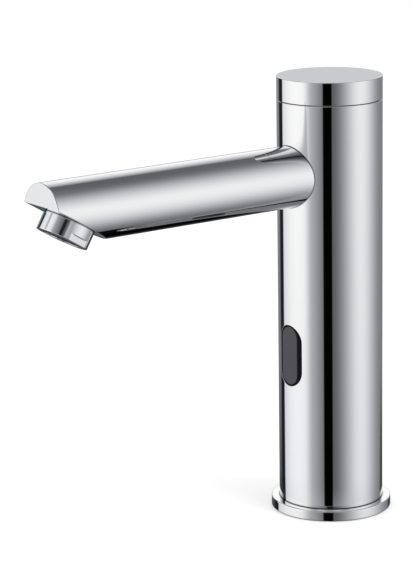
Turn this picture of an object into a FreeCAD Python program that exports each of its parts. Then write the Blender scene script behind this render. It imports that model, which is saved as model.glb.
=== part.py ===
"""Deck-mounted sensor tap, built as the separate pieces that it comes apart into.

Frame: millimetres, +Z up, the spout and the sensor window face -Y. The origin is the centre of the
flange's underside, on the deck. The water line and the valve stand behind the middle of the body, the
outlet tube and the sensor in front of it. Each piece is one object whose Label names its file.
"""

import FreeCAD, Part
import os
import re

import Sketcher

# Driving dimensions: name, value, what it is. Lengths in mm, angles in degrees, and round
# sizes are radii unless the note says otherwise.
SIZES = [
    # outside
    ("body_radius", 24.0, "body tube, outside"),
    ("body_bore", 21.0, "body tube, bore"),
    ("flange_radius", 27.7, "base flange, outside"),
    ("flange_height", 4.6, "base flange, thickness"),
    ("flange_ledge", 1.4, "base flange, inside the body's bore"),
    ("seam_rise", 36.0, "battery tray's underside to the seam under the cap"),
    ("cap_rise", 10.5, "cap, above the seam"),
    ("cap_roof", 3.0, "cap, thickness of its top"),
    ("seam_bevel", 0.3, "bevels that meet at the seam"),
    ("edge_bevel", 0.4, "bevels of the chrome edges"),
    # spout and outlet
    ("spout_drop", 33.2, "seam to the spout's axis"),
    ("spout_radius", 14.0, "spout, outside"),
    ("spout_bore", 12.4, "spout, bore"),
    ("spout_reach", 154.4, "body axis to the spout's square end"),
    ("spout_boss", 36.0, "body axis to the end of the spout's threaded boss"),
    ("spout_solid", 36.4, "spout's square end to the end of the wide bore"),
    ("outlet_lip", 3.9, "square end's lower edge, above the spout's axis"),
    ("outlet_slant", 30.8, "slanted face, from level, degrees"),
    ("outlet_set", 16.0, "outlet's centre, along the slanted face from its upper edge"),
    ("outlet_way", 6.5, "water way from the bore to the outlet"),
    ("outlet_way_rise", 2.0, "water way, above the spout's axis"),
    ("outlet_way_back", 18.4, "spout's square end to the end of the water way"),
    ("tip_round", 0.4, "rounding of the spout's end"),
    # aerator
    ("aerator_skirt", 11.65, "aerator housing, outside"),
    ("aerator_drop", 8.2, "aerator housing, below the slanted face"),
    ("aerator_thread", 11.0, "aerator housing, threaded neck"),
    ("aerator_neck", 6.0, "aerator housing, length of its neck"),
    ("aerator_bore", 9.6, "aerator housing, bore"),
    ("aerator_mouth", 8.6, "aerator housing, mouth"),
    ("aerator_lip", 1.0, "aerator housing, thickness at its mouth"),
    ("spanner_width", 10.7, "aerator's axis to a spanner flat"),
    ("spanner_height", 3.1, "spanner flats, from the lower edge"),
    ("spanner_turn", -5.0, "spanner flats, turned about the outlet's axis, degrees"),
    ("washer_thick", 1.2, "aerator washer, thickness"),
    ("grid_thick", 1.2, "outlet grid, thickness"),
    ("grid_pitch", 2.2, "outlet grid, hole to hole"),
    ("grid_hole", 1.6, "outlet grid, hole side"),
    # sensor window
    ("window_height", 75.2, "deck to the window's centre"),
    ("window_radius", 7.6, "window opening, end radius and half width"),
    ("window_half", 14.3, "window opening, half height"),
    ("lens_radius", 5.3, "lens, end radius and half width"),
    ("lens_sunk", 0.2, "lens's flat face, behind the body's front"),
    ("lens_half", 13.6, "lens, half height"),
    ("bezel_flange", 1.5, "how far the bezel's rear flange stands out"),
    ("bezel_thick", 1.3, "bezel's rear flange, thickness"),
    ("lens_thick", 1.5, "lens's rear flange, thickness"),
    ("case_depth", 6.5, "sensor case, depth"),
    ("board_thick", 1.6, "circuit board, thickness"),
    ("board_half", 14.5, "circuit board, half width"),
    ("board_drop", 20.2, "window's centre to the board's lower edge"),
    ("board_rise", 21.7, "window's centre to the board's upper edge"),
    ("case_half", 11.0, "sensor case, half width"),
    ("case_rise", 17.0, "sensor case, half height"),
    ("case_wall", 1.5, "sensor case, wall"),
    ("diode_radius", 2.5, "emitter and receiver, outside"),
    ("diode_reach", 5.5, "emitter and receiver, length with the dome"),
    ("diode_spread", 7.0, "emitter and receiver, above and below the window's centre"),
    # base plug and check valve
    ("plug_recess", 0.4, "base plug's underside, above the deck"),
    ("plug_top", 31.0, "deck to the base plug's top"),
    ("water_line", 13.0, "body axis back to the inlet tube's axis"),
    ("inlet_drill", 4.5, "inlet socket"),
    ("inlet_depth", 10.0, "inlet socket, depth"),
    ("inlet_way", 3.5, "way from the socket to the filter"),
    ("cartridge_bore", 6.1, "check valve's bore in the plug"),
    ("cartridge_floor", 12.4, "deck to the floor of that bore"),
    ("stud_drill", 2.5, "tapped fixing holes"),
    ("stud_depth", 16.0, "tapped fixing holes, depth"),
    ("stud_spread", 12.0, "fixing holes, each side of the middle"),
    ("filter_thick", 1.2, "inlet filter, thickness"),
    ("check_seat", 2.8, "check valve, seat hole"),
    ("check_wall", 1.4, "check valve body, wall"),
    ("check_height", 12.4, "check valve body, height"),
    ("check_floor", 2.0, "check valve body, thickness under the poppet"),
    ("poppet_radius", 3.9, "poppet, disc"),
    ("poppet_thick", 1.6, "poppet, thickness of the disc"),
    ("poppet_stem", 0.95, "poppet, stem"),
    ("poppet_reach", 12.2, "poppet, height with its stem"),
    ("guide_thick", 1.2, "check valve guide, thickness"),
    ("guide_hub", 2.0, "check valve guide, hub"),
    ("spring_wire", 0.5, "springs, wire thickness"),
    ("check_spring", 2.2, "check valve spring, outside"),
    # water tubes
    ("tube_radius", 4.0, "water tubes, outside"),
    ("tube_bore", 3.0, "water tubes, bore"),
    ("collar_thick", 1.2, "tube collars, thickness"),
    ("tube_in", 5.0, "how far a tube reaches into the valve block"),
    ("seal_pocket", 2.0, "pockets of the tube seals, depth"),
    ("seal_wire", 0.95, "tube seals, half their section"),
    # base seal and chassis
    ("base_seal_wide", 4.6, "base seal, inside to outside"),
    ("base_seal_rim", 2.1, "flange's edge to the base seal"),
    ("base_seal_deep", 1.6, "base seal's groove, depth"),
    ("chassis_foot", 2.0, "chassis foot plate, thickness"),
    ("post_in", 13.5, "chassis posts, inner side"),
    ("post_out", 17.0, "chassis posts, outer side"),
    ("post_lip", 1.0, "chassis posts, in front of the board"),
    ("post_deep", 7.0, "chassis posts, front to back"),
    # valve
    ("block_height", 20.0, "valve block, height"),
    ("valve_line", 6.0, "body axis back to the valve's axis"),
    ("chamber_in", 5.0, "ring chamber, inside"),
    ("chamber_out", 9.5, "ring chamber, outside"),
    ("chamber_deep", 5.5, "ring chamber, below the block's top"),
    ("seat_bore", 3.8, "valve seat, bore"),
    ("feed_way", 2.0, "way from the inlet tube to the chamber"),
    ("cross_way", 3.2, "way from the seat to the outlet tube"),
    ("seat_sump", 0.5, "seat bore, below the cross way"),
    ("cross_rise", 10.0, "valve block's underside to the cross way"),
    ("cross_plug", 3.0, "passage plug, length"),
    ("diaphragm_radius", 11.5, "diaphragm, outside"),
    ("diaphragm_thick", 1.0, "diaphragm, thickness"),
    ("diaphragm_web", 0.4, "diaphragm, thickness of its web"),
    ("pad_radius", 6.0, "diaphragm's middle and the insert's disc"),
    ("insert_stem", 1.45, "insert's stem"),
    ("insert_drop", 3.0, "insert's stem, below the block's top"),
    ("insert_disc", 1.2, "insert's disc, thickness"),
    ("pilot_rise", 0.8, "pilot nozzle, above the disc"),
    ("pilot_radius", 1.6, "pilot nozzle"),
    ("pilot_hole", 0.5, "pilot hole"),
    ("bonnet_radius", 12.6, "bonnet, outside"),
    ("bonnet_height", 6.0, "bonnet, height"),
    ("bonnet_room", 4.5, "bonnet, depth of its chamber"),
    ("ear_spread", 15.5, "bonnet's ears, each side of the valve's axis"),
    ("ear_radius", 3.5, "bonnet's ears"),
    ("ear_thick", 3.0, "bonnet's ears, thickness"),
    ("screw_shank", 1.45, "bonnet screws, shank"),
    ("screw_head", 2.75, "bonnet screws, head"),
    ("screw_head_high", 2.0, "bonnet screws, height of the head"),
    ("screw_deep", 8.0, "bonnet screws, depth in the block"),
    # solenoid
    ("plunger_radius", 4.2, "plunger"),
    ("plunger_gap", 0.8, "pilot nozzle to the plunger's lower end"),
    ("plunger_length", 16.2, "plunger, length"),
    ("plunger_travel", 2.0, "plunger's lift"),
    ("plunger_seal_radius", 2.2, "plunger seal"),
    ("spring_pocket", 2.4, "plunger's spring pocket"),
    ("spring_pocket_deep", 6.0, "spring pocket, depth"),
    ("plunger_spring", 2.1, "plunger spring, outside"),
    ("guide_wall", 0.9, "guide tube, wall"),
    ("coil_radius", 10.5, "bobbin's flanges"),
    ("coil_height", 22.0, "bobbin, height"),
    ("bobbin_wall", 1.2, "bobbin, walls"),
    ("winding_radius", 9.8, "winding, outside"),
    ("terminal_in", 8.6, "bobbin's terminal post, inner side"),
    ("terminal_out", 10.0, "bobbin's terminal post, outer side"),
    ("terminal_half", 1.1, "bobbin's terminal post, half width"),
    ("yoke_thick", 1.5, "yoke strap, thickness"),
    ("yoke_half", 4.5, "yoke strap, half width"),
    ("core_stud", 2.0, "core's threaded stud"),
    ("magnet_radius", 6.0, "latch magnet, outside"),
    ("magnet_thick", 3.0, "latch magnet, thickness"),
    ("nut_half", 3.5, "core nut, half across flats"),
    ("nut_thick", 2.2, "core nut, thickness"),
    # spout elbow
    ("elbow_drop", 17.3, "spout's axis to the elbow's underside"),
    ("elbow_radius", 6.8, "elbow's socket, outside"),
    ("elbow_roof", 1.4, "elbow, from the socket's end to the shoulder"),
    ("elbow_neck", 4.7, "elbow's neck above the shoulder"),
    ("elbow_socket", 5.0, "elbow's socket, depth"),
    ("elbow_thread", 9.0, "elbow's threaded boss"),
    ("elbow_way", 5.5, "way through the threaded boss"),
    ("elbow_reach", 33.0, "body axis to the boss's end"),
    ("elbow_back", 6.0, "body axis to the elbow's flat back"),
    ("elbow_collar", 10.6, "elbow's collar"),
    ("elbow_collar_thick", 3.9, "elbow's collar, thickness"),
    ("wall_gap", 0.2, "flat collars and flanges to the round wall beside them"),
    ("spout_seal_at", 30.0, "body axis to the spout seal"),
    ("seal_thin", 0.5, "spout seal and cap seal, half their section"),
    # battery and cap
    ("cell_radius", 8.5, "battery cells"),
    ("cell_length", 34.5, "battery cells, length"),
    ("cell_spread", 8.7, "cells, each side of the middle"),
    ("cell_line", 5.0, "body axis back to the cells' axes"),
    ("tray_gap", 1.3, "core's stud to the battery tray's underside"),
    ("tray_floor", 1.5, "battery tray, floor"),
    ("tray_wall", 1.2, "battery tray, wall"),
    ("tray_rise", 19.5, "battery tray, height"),
    ("contact_thick", 0.5, "battery contacts, thickness"),
    ("lid_thick", 1.5, "battery lid, thickness"),
    ("leg_radius", 1.6, "battery tray's legs"),
    ("leg_spread", 12.2, "legs, each side of the middle"),
    ("leg_line", 14.2, "body axis back to the legs"),
    ("spigot_deep", 6.0, "cap's threaded spigot, length"),
    ("spigot_bore", 19.2, "cap's threaded spigot, inside"),
    ("cap_seal_drop", 3.5, "seam to the cap seal"),
    # leads
    ("lead_radius", 0.9, "leads"),
    ("lead_line", 0.5, "body axis forward to the leads"),
    ("lead_out", 18.5, "body axis sideways to the leads' upright runs"),
    ("lead_bend", 4.5, "leads, radius of their bends"),
    ("notch_radius", 1.6, "valve block's notches for the leads"),
    ("plug_block", 5.0, "lead connectors, width"),
    # clearances
    ("running_fit", 0.05, "between pieces that turn or slide on each other"),
    ("loose_fit", 0.1, "between pieces that stay put"),
]

# Places and sizes that follow from the driving dimensions, each written once.
DERIVED = {
    "seam_height": "tray_low + seam_rise",
    "spout_axis": "seam_height - spout_drop",
    "cap_seal_at": "seam_height - cap_seal_drop",
    "bezel_seat": "sqrt(body_bore ^ 2 - (window_radius + bezel_flange) ^ 2) - wall_gap",
    "lens_front": "body_radius - lens_sunk",
    "bezel_rear": "bezel_seat - bezel_thick",
    "lens_rear": "bezel_rear - lens_thick",
    "board_front": "lens_rear - case_depth",
    "board_low": "window_height - board_drop",
    "post_front": "board_front + post_lip",
    "post_back": "post_front - post_deep",
    "block_low": "window_height + board_rise + loose_fit",
    "cross_height": "block_low + cross_rise",
    "collar_front": "sqrt(body_bore ^ 2 - elbow_collar ^ 2) - wall_gap",
    "collar_back": "collar_front - elbow_collar_thick",
    "outlet_line": "collar_front - elbow_neck - wall_gap",
    "elbow_low": "spout_axis - elbow_drop",
    "plunger_low": "pilot_top + plunger_gap",
    "plunger_high": "plunger_low + plunger_length",
    "coil_low": "bonnet_top + yoke_thick",
    "coil_high": "coil_low + coil_height",
    "guide_top": "coil_high - loose_fit",
    "stud_top": "nut_top + core_stud / 2",
    "tray_low": "stud_top + tray_gap",
    "flange_bore": "body_bore - flange_ledge",
    "base_seal_out": "flange_radius - base_seal_rim",
    "base_seal_in": "base_seal_out - base_seal_wide",
    "spigot_radius": "body_bore - running_fit",
    "cap_top": "seam_height + cap_rise",
    "spout_bore_end": "spout_reach - spout_solid",
    "outlet_way_end": "spout_reach - outlet_way_back",
    "lip_height": "spout_axis + outlet_lip",
    "outlet_forward": "spout_reach - outlet_set * cos(outlet_slant * 1deg)",
    "outlet_height": "lip_height - outlet_set * sin(outlet_slant * 1deg)",
    "outlet_tilt": "180 - outlet_slant",
    "socket_radius": "aerator_thread + running_fit",
    "socket_depth": "aerator_neck + washer_thick",
    "grid_face": "aerator_drop - aerator_lip",
    "plug_boss": "flange_bore - loose_fit",
    "filter_top": "cartridge_floor + filter_thick",
    "check_radius": "cartridge_bore - loose_fit",
    "check_inside": "check_radius - check_wall",
    "check_top": "filter_top + check_height",
    "poppet_seat": "filter_top + check_floor",
    "guide_top_face": "check_top + guide_thick",
    "tube_hole": "tube_radius + running_fit",
    "seal_ring_radius": "tube_radius + seal_wire + running_fit",
    "seal_pocket_radius": "seal_ring_radius + seal_wire + running_fit",
    "collar_radius": "seal_pocket_radius - loose_fit",
    "foot_collar_top": "guide_top_face + collar_thick",
    "block_top": "block_low + block_height",
    "block_radius": "body_bore - 6 * loose_fit",
    "chassis_radius": "body_bore - 4 * loose_fit",
    "chassis_top": "plug_top + chassis_foot",
    "chamber_floor": "block_top - chamber_deep",
    "seat_top": "block_top - diaphragm_thick",
    "recess_radius": "diaphragm_radius + loose_fit",
    "insert_top": "block_top + insert_disc",
    "pilot_top": "insert_top + pilot_rise",
    "bonnet_top": "block_top + bonnet_height",
    "guide_bore": "plunger_radius + running_fit",
    "guide_radius": "guide_bore + guide_wall",
    "core_low": "plunger_high + plunger_travel",
    "yoke_top": "coil_high + yoke_thick",
    "magnet_top": "yoke_top + magnet_thick",
    "nut_top": "magnet_top + nut_thick",
    "bobbin_bore": "guide_radius + loose_fit",
    "yoke_reach": "coil_radius + yoke_half / 9 + yoke_thick",
    "cell_low": "tray_low + tray_floor + contact_thick",
    "cell_top": "cell_low + cell_length",
    "tray_inside": "cell_radius + 2 * loose_fit",
    "board_rear": "board_front - board_thick",
    "diode_base": "board_front",
    "lead_floor": "board_low + 6 * plug_block",
    "boss_hole": "elbow_thread + running_fit",
    "cope_radius": "body_radius + loose_fit / 5",
}

doc = FreeCAD.newDocument("sensor_tap")
sheet = doc.addObject("Spreadsheet::Sheet", "Sizes")
for row, (alias, value, note) in enumerate(SIZES, start=1):
    sheet.set(f"A{row}", note)
    sheet.set(f"B{row}", str(value))
    sheet.setAlias(f"B{row}", alias)
doc.recompute()

ALIASES = {alias for alias, _, _ in SIZES}
PARTS = []


def formula(text):
    """The expression with each derived name written out and each driving name read from the sheet."""

    def written_out(match):
        word = match.group(0)
        if word in DERIVED:
            return "(" + formula(DERIVED[word]) + ")"
        return f"Sizes.{word}" if word in ALIASES else word

    return re.sub(r"[A-Za-z_]\w*", written_out, str(text))


def number(text):
    """The value of an expression, as a float."""
    value = sheet.evalExpression(formula(text))
    return float(getattr(value, "Value", value))


# ---------------------------------------------------------------- sketches


def plane_of(body, role):
    return next(f for f in body.Origin.OriginFeatures if f.Role == role)


def sketch_on(body, role="XY_Plane", offset="0"):
    """A sketch on one of the piece's own origin planes, moved along the plane's normal (+Z, -Y or +X)."""
    sketch = body.newObject("Sketcher::SketchObject", body.Label + "_sketch")
    sketch.AttachmentSupport = (plane_of(body, role), [""])
    sketch.MapMode = "FlatFace"
    if str(offset) != "0":
        sketch.setExpression("AttachmentOffset.Base.z", formula(offset))
    return sketch


def pin(sketch, index, point, x, y):
    """Holds a point of the sketch at the place that two expressions give."""
    for kind, axis, text in (("DistanceX", -2, x), ("DistanceY", -1, y)):
        if str(text) == "0":
            sketch.addConstraint(Sketcher.Constraint("PointOnObject", index, point, axis))
            continue
        place = Sketcher.Constraint(kind, -1, 1, index, point, number(text))
        sketch.setExpression(f"Constraints[{sketch.addConstraint(place)}]", formula(text))


def outline(sketch, corners):
    """A closed outline of straight lines through (x, y) expressions."""
    places = [FreeCAD.Vector(number(x), number(y), 0) for x, y in corners]
    first = sketch.GeometryCount
    count = len(places)
    for i in range(count):
        sketch.addGeometry(Part.LineSegment(places[i], places[(i + 1) % count]), False)
    for i in range(count):
        joint = Sketcher.Constraint("Coincident", first + i, 2, first + (i + 1) % count, 1)
        sketch.addConstraint(joint)
    for i, (x, y) in enumerate(corners):
        pin(sketch, first + i, 1, x, y)
    return sketch


def rectangle(sketch, x_low, x_high, y_low, y_high):
    return outline(sketch, [(x_low, y_low), (x_high, y_low), (x_high, y_high), (x_low, y_high)])


def circle(sketch, x, y, radius):
    centre = FreeCAD.Vector(number(x), number(y), 0)
    index = sketch.addGeometry(
        Part.Circle(centre, FreeCAD.Vector(0, 0, 1), number(radius)), False
    )
    pin(sketch, index, 3, x, y)
    size = sketch.addConstraint(Sketcher.Constraint("Radius", index, number(radius)))
    sketch.setExpression(f"Constraints[{size}]", formula(radius))
    return sketch


def obround(sketch, x, y, radius, straight, upright=True):
    """Two half circles of the radius, each the straight length from (x, y), joined by tangent lines."""
    first = sketch.GeometryCount
    middle = FreeCAD.Vector(number(x), number(y), 0)
    ahead = FreeCAD.Vector(0, 1, 0) if upright else FreeCAD.Vector(1, 0, 0)
    aside = FreeCAD.Vector(1, 0, 0) if upright else FreeCAD.Vector(0, -1, 0)
    along = ahead * number(straight)
    reach = ahead * number(radius)
    across = aside * number(radius)
    for sign in (1, -1):
        start = middle + along * sign + across * sign
        crown = middle + along * sign + reach * sign
        end = middle + along * sign - across * sign
        sketch.addGeometry(Part.Arc(start, crown, end), False)
    sketch.addGeometry(
        Part.LineSegment(middle + along - across, middle - along - across), False
    )
    sketch.addGeometry(
        Part.LineSegment(middle - along + across, middle + along + across), False
    )
    joins = [(first, 2, first + 2, 1), (first + 2, 2, first + 1, 1)]
    joins += [(first + 1, 2, first + 3, 1), (first + 3, 2, first, 1)]
    for join in joins:
        sketch.addConstraint(Sketcher.Constraint("Tangent", *join))
    size = sketch.addConstraint(Sketcher.Constraint("Radius", first, number(radius)))
    sketch.setExpression(f"Constraints[{size}]", formula(radius))
    for arc, sign in ((first, "+"), (first + 1, "-")):
        if upright:
            pin(sketch, arc, 3, x, f"({y}) {sign} ({straight})")
        else:
            pin(sketch, arc, 3, f"({x}) {sign} ({straight})", y)
    return sketch


# ---------------------------------------------------------------- features


def loose_body(name, x="0", y="0", z="0", tilt=None):
    """A body of features, at the place that the expressions give; tilt turns it about X."""
    body = doc.addObject("PartDesign::Body", name)
    if tilt:
        body.Placement = FreeCAD.Placement(
            FreeCAD.Vector(0, 0, 0), FreeCAD.Rotation(FreeCAD.Vector(1, 0, 0), number(tilt))
        )
        body.setExpression("Placement.Rotation.Angle", formula(tilt) + " * 1deg")
    for axis, text in (("x", x), ("y", y), ("z", z)):
        if str(text) != "0":
            body.setExpression("Placement.Base." + axis, formula(text))
    return body


def piece(label, x="0", y="0", z="0", tilt=None):
    """A piece that is one body, with a file of its own."""
    body = loose_body(label, x, y, z, tilt)
    body.Label = label
    PARTS.append(body)
    return body


def feature(body, kind, sketch, **settings):
    """One feature from a sketch. An additive one has to add to the piece and any other has to cut it."""
    before = body.Shape.Volume if body.Tip and not body.Shape.isNull() else 0.0
    made = body.newObject("PartDesign::" + kind, f"{body.Label}_{kind.lower()}")
    made.Profile = (sketch, [""])
    for name, value in settings.items():
        if isinstance(value, str) and name in ("Length", "Angle"):
            made.setExpression(name, formula(value))
        else:
            setattr(made, name, value)
    doc.recompute()
    after = body.Shape.Volume
    adds = kind in ("Pad", "Revolution", "AdditivePipe", "AdditiveLoft")
    if (after <= before) if adds else (after >= before):
        raise RuntimeError(f"{made.Label} changed nothing: {before:.3f} to {after:.3f}")
    return made


def turned(body, corners, role="XZ_Plane", axis="V_Axis"):
    """A full turn of an outline about the piece's own axis."""
    sketch = outline(sketch_on(body, role), corners)
    return feature(body, "Revolution", sketch, ReferenceAxis=(sketch, [axis]), Angle=360.0)


def grooved(body, corners, role="XZ_Plane", axis="V_Axis"):
    """A groove cut by a full turn of an outline."""
    sketch = outline(sketch_on(body, role), corners)
    return feature(body, "Groove", sketch, ReferenceAxis=(sketch, [axis]), Angle=360.0)


def ring(body, inner, outer, low, high):
    return turned(body, [(inner, low), (outer, low), (outer, high), (inner, high)])


def pad(body, sketch, length, reverse=False):
    return feature(body, "Pad", sketch, Length=length, Reversed=reverse)


def pocket(body, sketch, depth, reverse=False):
    """Cuts against the sketch's normal, or along it where reverse is set."""
    return feature(body, "Pocket", sketch, Length=depth, Reversed=reverse)


def drilled(body, x, y, radius, low, high):
    """An upright round hole from one height to another."""
    sketch = circle(sketch_on(body, "XY_Plane", high), x, y, radius)
    return pocket(body, sketch, f"({high}) - ({low})")


def eased(body, chosen, amount, kind="Fillet"):
    """Rounds or bevels the edges of the piece that a test chooses."""
    base = body.Tip
    names = [
        f"Edge{i}" for i, edge in enumerate(base.Shape.Edges, start=1) if chosen(edge)
    ]
    if not names:
        raise RuntimeError(f"{body.Label}: no edge to ease")
    made = body.newObject("PartDesign::" + kind, f"{body.Label}_{kind.lower()}")
    made.Base = (base, names)
    size = "Radius" if kind == "Fillet" else "Size"
    made.setExpression(size, formula(amount))
    doc.recompute()
    return made


def near(value, text, slack=0.01):
    return abs(value - number(text)) < slack


def round_edge(radius, height):
    """A test for a full circle about the piece's axis, of a radius and at a height."""

    def chosen(edge):
        curve = edge.Curve
        if curve.TypeId != "Part::GeomCircle":
            return False
        return near(curve.Radius, radius) and near(curve.Center.z, height)

    return chosen


# ---------------------------------------------------------------- base


def base_flange():
    body = piece("base_flange")
    ring(body, "flange_bore", "flange_radius", "0", "flange_height")
    sketch = sketch_on(body, "XY_Plane")
    circle(sketch, "0", "0", "base_seal_out + loose_fit")
    circle(sketch, "0", "0", "base_seal_in - loose_fit")
    pocket(body, sketch, "base_seal_deep", reverse=True)
    eased(body, round_edge("flange_radius", "flange_height"), "edge_bevel", "Chamfer")


def base_seal():
    ring(piece("base_seal"), "base_seal_in", "base_seal_out", "0", "base_seal_deep")


def base_plug():
    """Closes the foot of the body. Its boss centres the flange, which its shoulder clamps to the deck."""
    body = piece("base_plug")
    turned(
        body,
        [
            ("0", "plug_recess"),
            ("plug_boss", "plug_recess"),
            ("plug_boss", "flange_height"),
            ("spigot_radius", "flange_height"),
            ("spigot_radius", "plug_top"),
            ("0", "plug_top"),
        ],
    )
    drilled(body, "0", "water_line", "cartridge_bore", "cartridge_floor", "plug_top")
    drilled(body, "0", "water_line", "inlet_way", "plug_recess", "cartridge_floor")
    drilled(body, "0", "water_line", "inlet_drill", "plug_recess", "plug_recess + inlet_depth")
    for side in ("-1", "1"):
        drilled(
            body,
            f"{side} * stud_spread",
            "0",
            "stud_drill",
            "plug_recess",
            "plug_recess + stud_depth",
        )


def inlet_filter():
    """A disc with rings of holes, which stops grit ahead of the check valve."""
    body = piece("inlet_filter", y="water_line", z="cartridge_floor")
    ring(body, "0", "check_radius", "0", "filter_thick")
    holes = sketch_on(body, "XY_Plane", "filter_thick")
    circle(holes, "0", "inlet_way * 2 / 3", "inlet_way / 6")
    first = pocket(body, holes, "filter_thick")
    turns = body.newObject("PartDesign::PolarPattern", "filter_holes")
    turns.Originals = [first]
    turns.Axis = (holes, ["N_Axis"])
    turns.Angle = 360
    turns.Occurrences = 8
    body.Tip = turns
    doc.recompute()
    drilled(body, "0", "0", "inlet_way / 3", "0", "filter_thick")


# ---------------------------------------------------------------- check valve


def check_valve_body():
    body = piece("check_valve_body", y="water_line")
    turned(
        body,
        [
            ("check_seat", "filter_top"),
            ("check_radius", "filter_top"),
            ("check_radius", "check_top"),
            ("check_inside", "check_top"),
            ("check_inside", "poppet_seat"),
            ("check_seat", "poppet_seat"),
        ],
    )


def check_valve_poppet():
    """A disc on the seat with a stem that the guide holds upright."""
    body = piece("check_valve_poppet", y="water_line", z="poppet_seat")
    turned(
        body,
        [
            ("0", "0"),
            ("poppet_radius", "0"),
            ("poppet_radius", "poppet_thick / 2"),
            ("poppet_stem * 2", "poppet_thick"),
            ("poppet_stem", "poppet_thick"),
            ("poppet_stem", "poppet_reach"),
            ("0", "poppet_reach"),
        ],
    )


def check_valve_guide():
    """A ring with a hub on three spokes, which lets the water past."""
    body = piece("check_valve_guide", y="water_line")
    ring(body, "check_inside", "check_radius", "check_top", "guide_top_face")
    for angle in (90, 210, 330):
        spoke = sketch_on(body, "XY_Plane", "check_top")
        spoke.AttachmentOffset = FreeCAD.Placement(
            spoke.AttachmentOffset.Base, FreeCAD.Rotation(FreeCAD.Vector(0, 0, 1), angle)
        )
        spoke.setExpression("AttachmentOffset.Base.z", formula("check_top"))
        rectangle(spoke, "0", "check_inside + loose_fit", "-guide_thick / 2", "guide_thick / 2")
        pad(body, spoke, "guide_thick")
    hub = circle(sketch_on(body, "XY_Plane", "check_top"), "0", "0", "guide_hub")
    pad(body, hub, "guide_thick")
    drilled(body, "0", "0", "poppet_stem + running_fit", "check_top", "guide_top_face")


def spring(label, y, low, high, outside):
    """A coil spring, drawn as the sleeve that its turns fill."""
    body = piece(label, y=y)
    ring(body, f"{outside} - spring_wire", outside, low, high)


# ---------------------------------------------------------------- water tubes and seals


def inlet_tube():
    body = piece("inlet_tube", y="water_line")
    head = "block_low - collar_thick"
    turned(
        body,
        [
            ("tube_bore", "guide_top_face"),
            ("collar_radius", "guide_top_face"),
            ("collar_radius", "foot_collar_top"),
            ("tube_radius", "foot_collar_top"),
            ("tube_radius", head),
            ("collar_radius", head),
            ("collar_radius", "block_low"),
            ("tube_radius", "block_low"),
            ("tube_radius", "block_low + tube_in"),
            ("tube_bore", "block_low + tube_in"),
        ],
    )


def outlet_tube():
    body = piece("outlet_tube", y="-outlet_line")
    turned(
        body,
        [
            ("tube_bore", "block_top - tube_in - seal_pocket"),
            ("tube_radius", "block_top - tube_in - seal_pocket"),
            ("tube_radius", "block_top"),
            ("collar_radius", "block_top"),
            ("collar_radius", "block_top + collar_thick"),
            ("tube_radius", "block_top + collar_thick"),
            ("tube_radius", "elbow_low - collar_thick"),
            ("collar_radius", "elbow_low - collar_thick"),
            ("collar_radius", "elbow_low"),
            ("tube_radius", "elbow_low"),
            ("tube_radius", "elbow_low + elbow_socket"),
            ("tube_bore", "elbow_low + elbow_socket"),
        ],
    )


def seal_ring(body, radius, wire):
    """A seal ring about the piece's axis; its round section is drawn with eight sides."""
    far = f"({wire})"
    close = f"({wire}) * cos(45deg)"
    turned(
        body,
        [
            (f"{radius} - {far}", "0"),
            (f"{radius} - {close}", f"-{close}"),
            (radius, f"-{far}"),
            (f"{radius} + {close}", f"-{close}"),
            (f"{radius} + {far}", "0"),
            (f"{radius} + {close}", close),
            (radius, far),
            (f"{radius} - {close}", close),
        ],
    )


def grouped(label, members):
    """Alike pieces that share one name."""
    group = doc.addObject("Part::Compound", label)
    group.Label = label
    group.Links = members
    PARTS.append(group)


def tube_seals():
    """Four alike seal rings round the ends of the two water tubes."""
    places = [
        ("water_line", "foot_collar_top + seal_wire + running_fit"),
        ("water_line", "block_low + seal_pocket / 2"),
        ("-outlet_line", "block_top - seal_pocket / 2"),
        ("-outlet_line", "elbow_low + seal_pocket / 2"),
    ]
    rings = []
    for y, z in places:
        body = loose_body("tube_seal", "0", y, z)
        seal_ring(body, "seal_ring_radius", "seal_wire")
        rings.append(body)
    grouped("tube_seals", rings)


# ---------------------------------------------------------------- chassis


def chassis():
    """Foot plate on the base plug with two grooved posts, which carry the valve block and the board."""
    body = piece("chassis")
    foot = circle(sketch_on(body, "XY_Plane", "plug_top"), "0", "0", "chassis_radius")
    circle(foot, "0", "water_line", "tube_hole + loose_fit")
    pad(body, foot, "chassis_foot")
    posts = sketch_on(body, "XY_Plane", "chassis_top")
    for inner, outer in (("post_in", "post_out"), ("-post_out", "-post_in")):
        rectangle(posts, inner, outer, "-post_front", "-post_back")
    pad(body, posts, "block_low - chassis_top")
    grooves = sketch_on(body, "XY_Plane", "block_low")
    front = "-board_front - running_fit"
    rear = "-board_rear + running_fit"
    reach = "board_half + running_fit"
    rectangle(grooves, "post_in - loose_fit", reach, front, rear)
    rectangle(grooves, f"-({reach})", "-post_in + loose_fit", front, rear)
    pocket(body, grooves, "block_low - board_low")


# ---------------------------------------------------------------- valve


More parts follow.
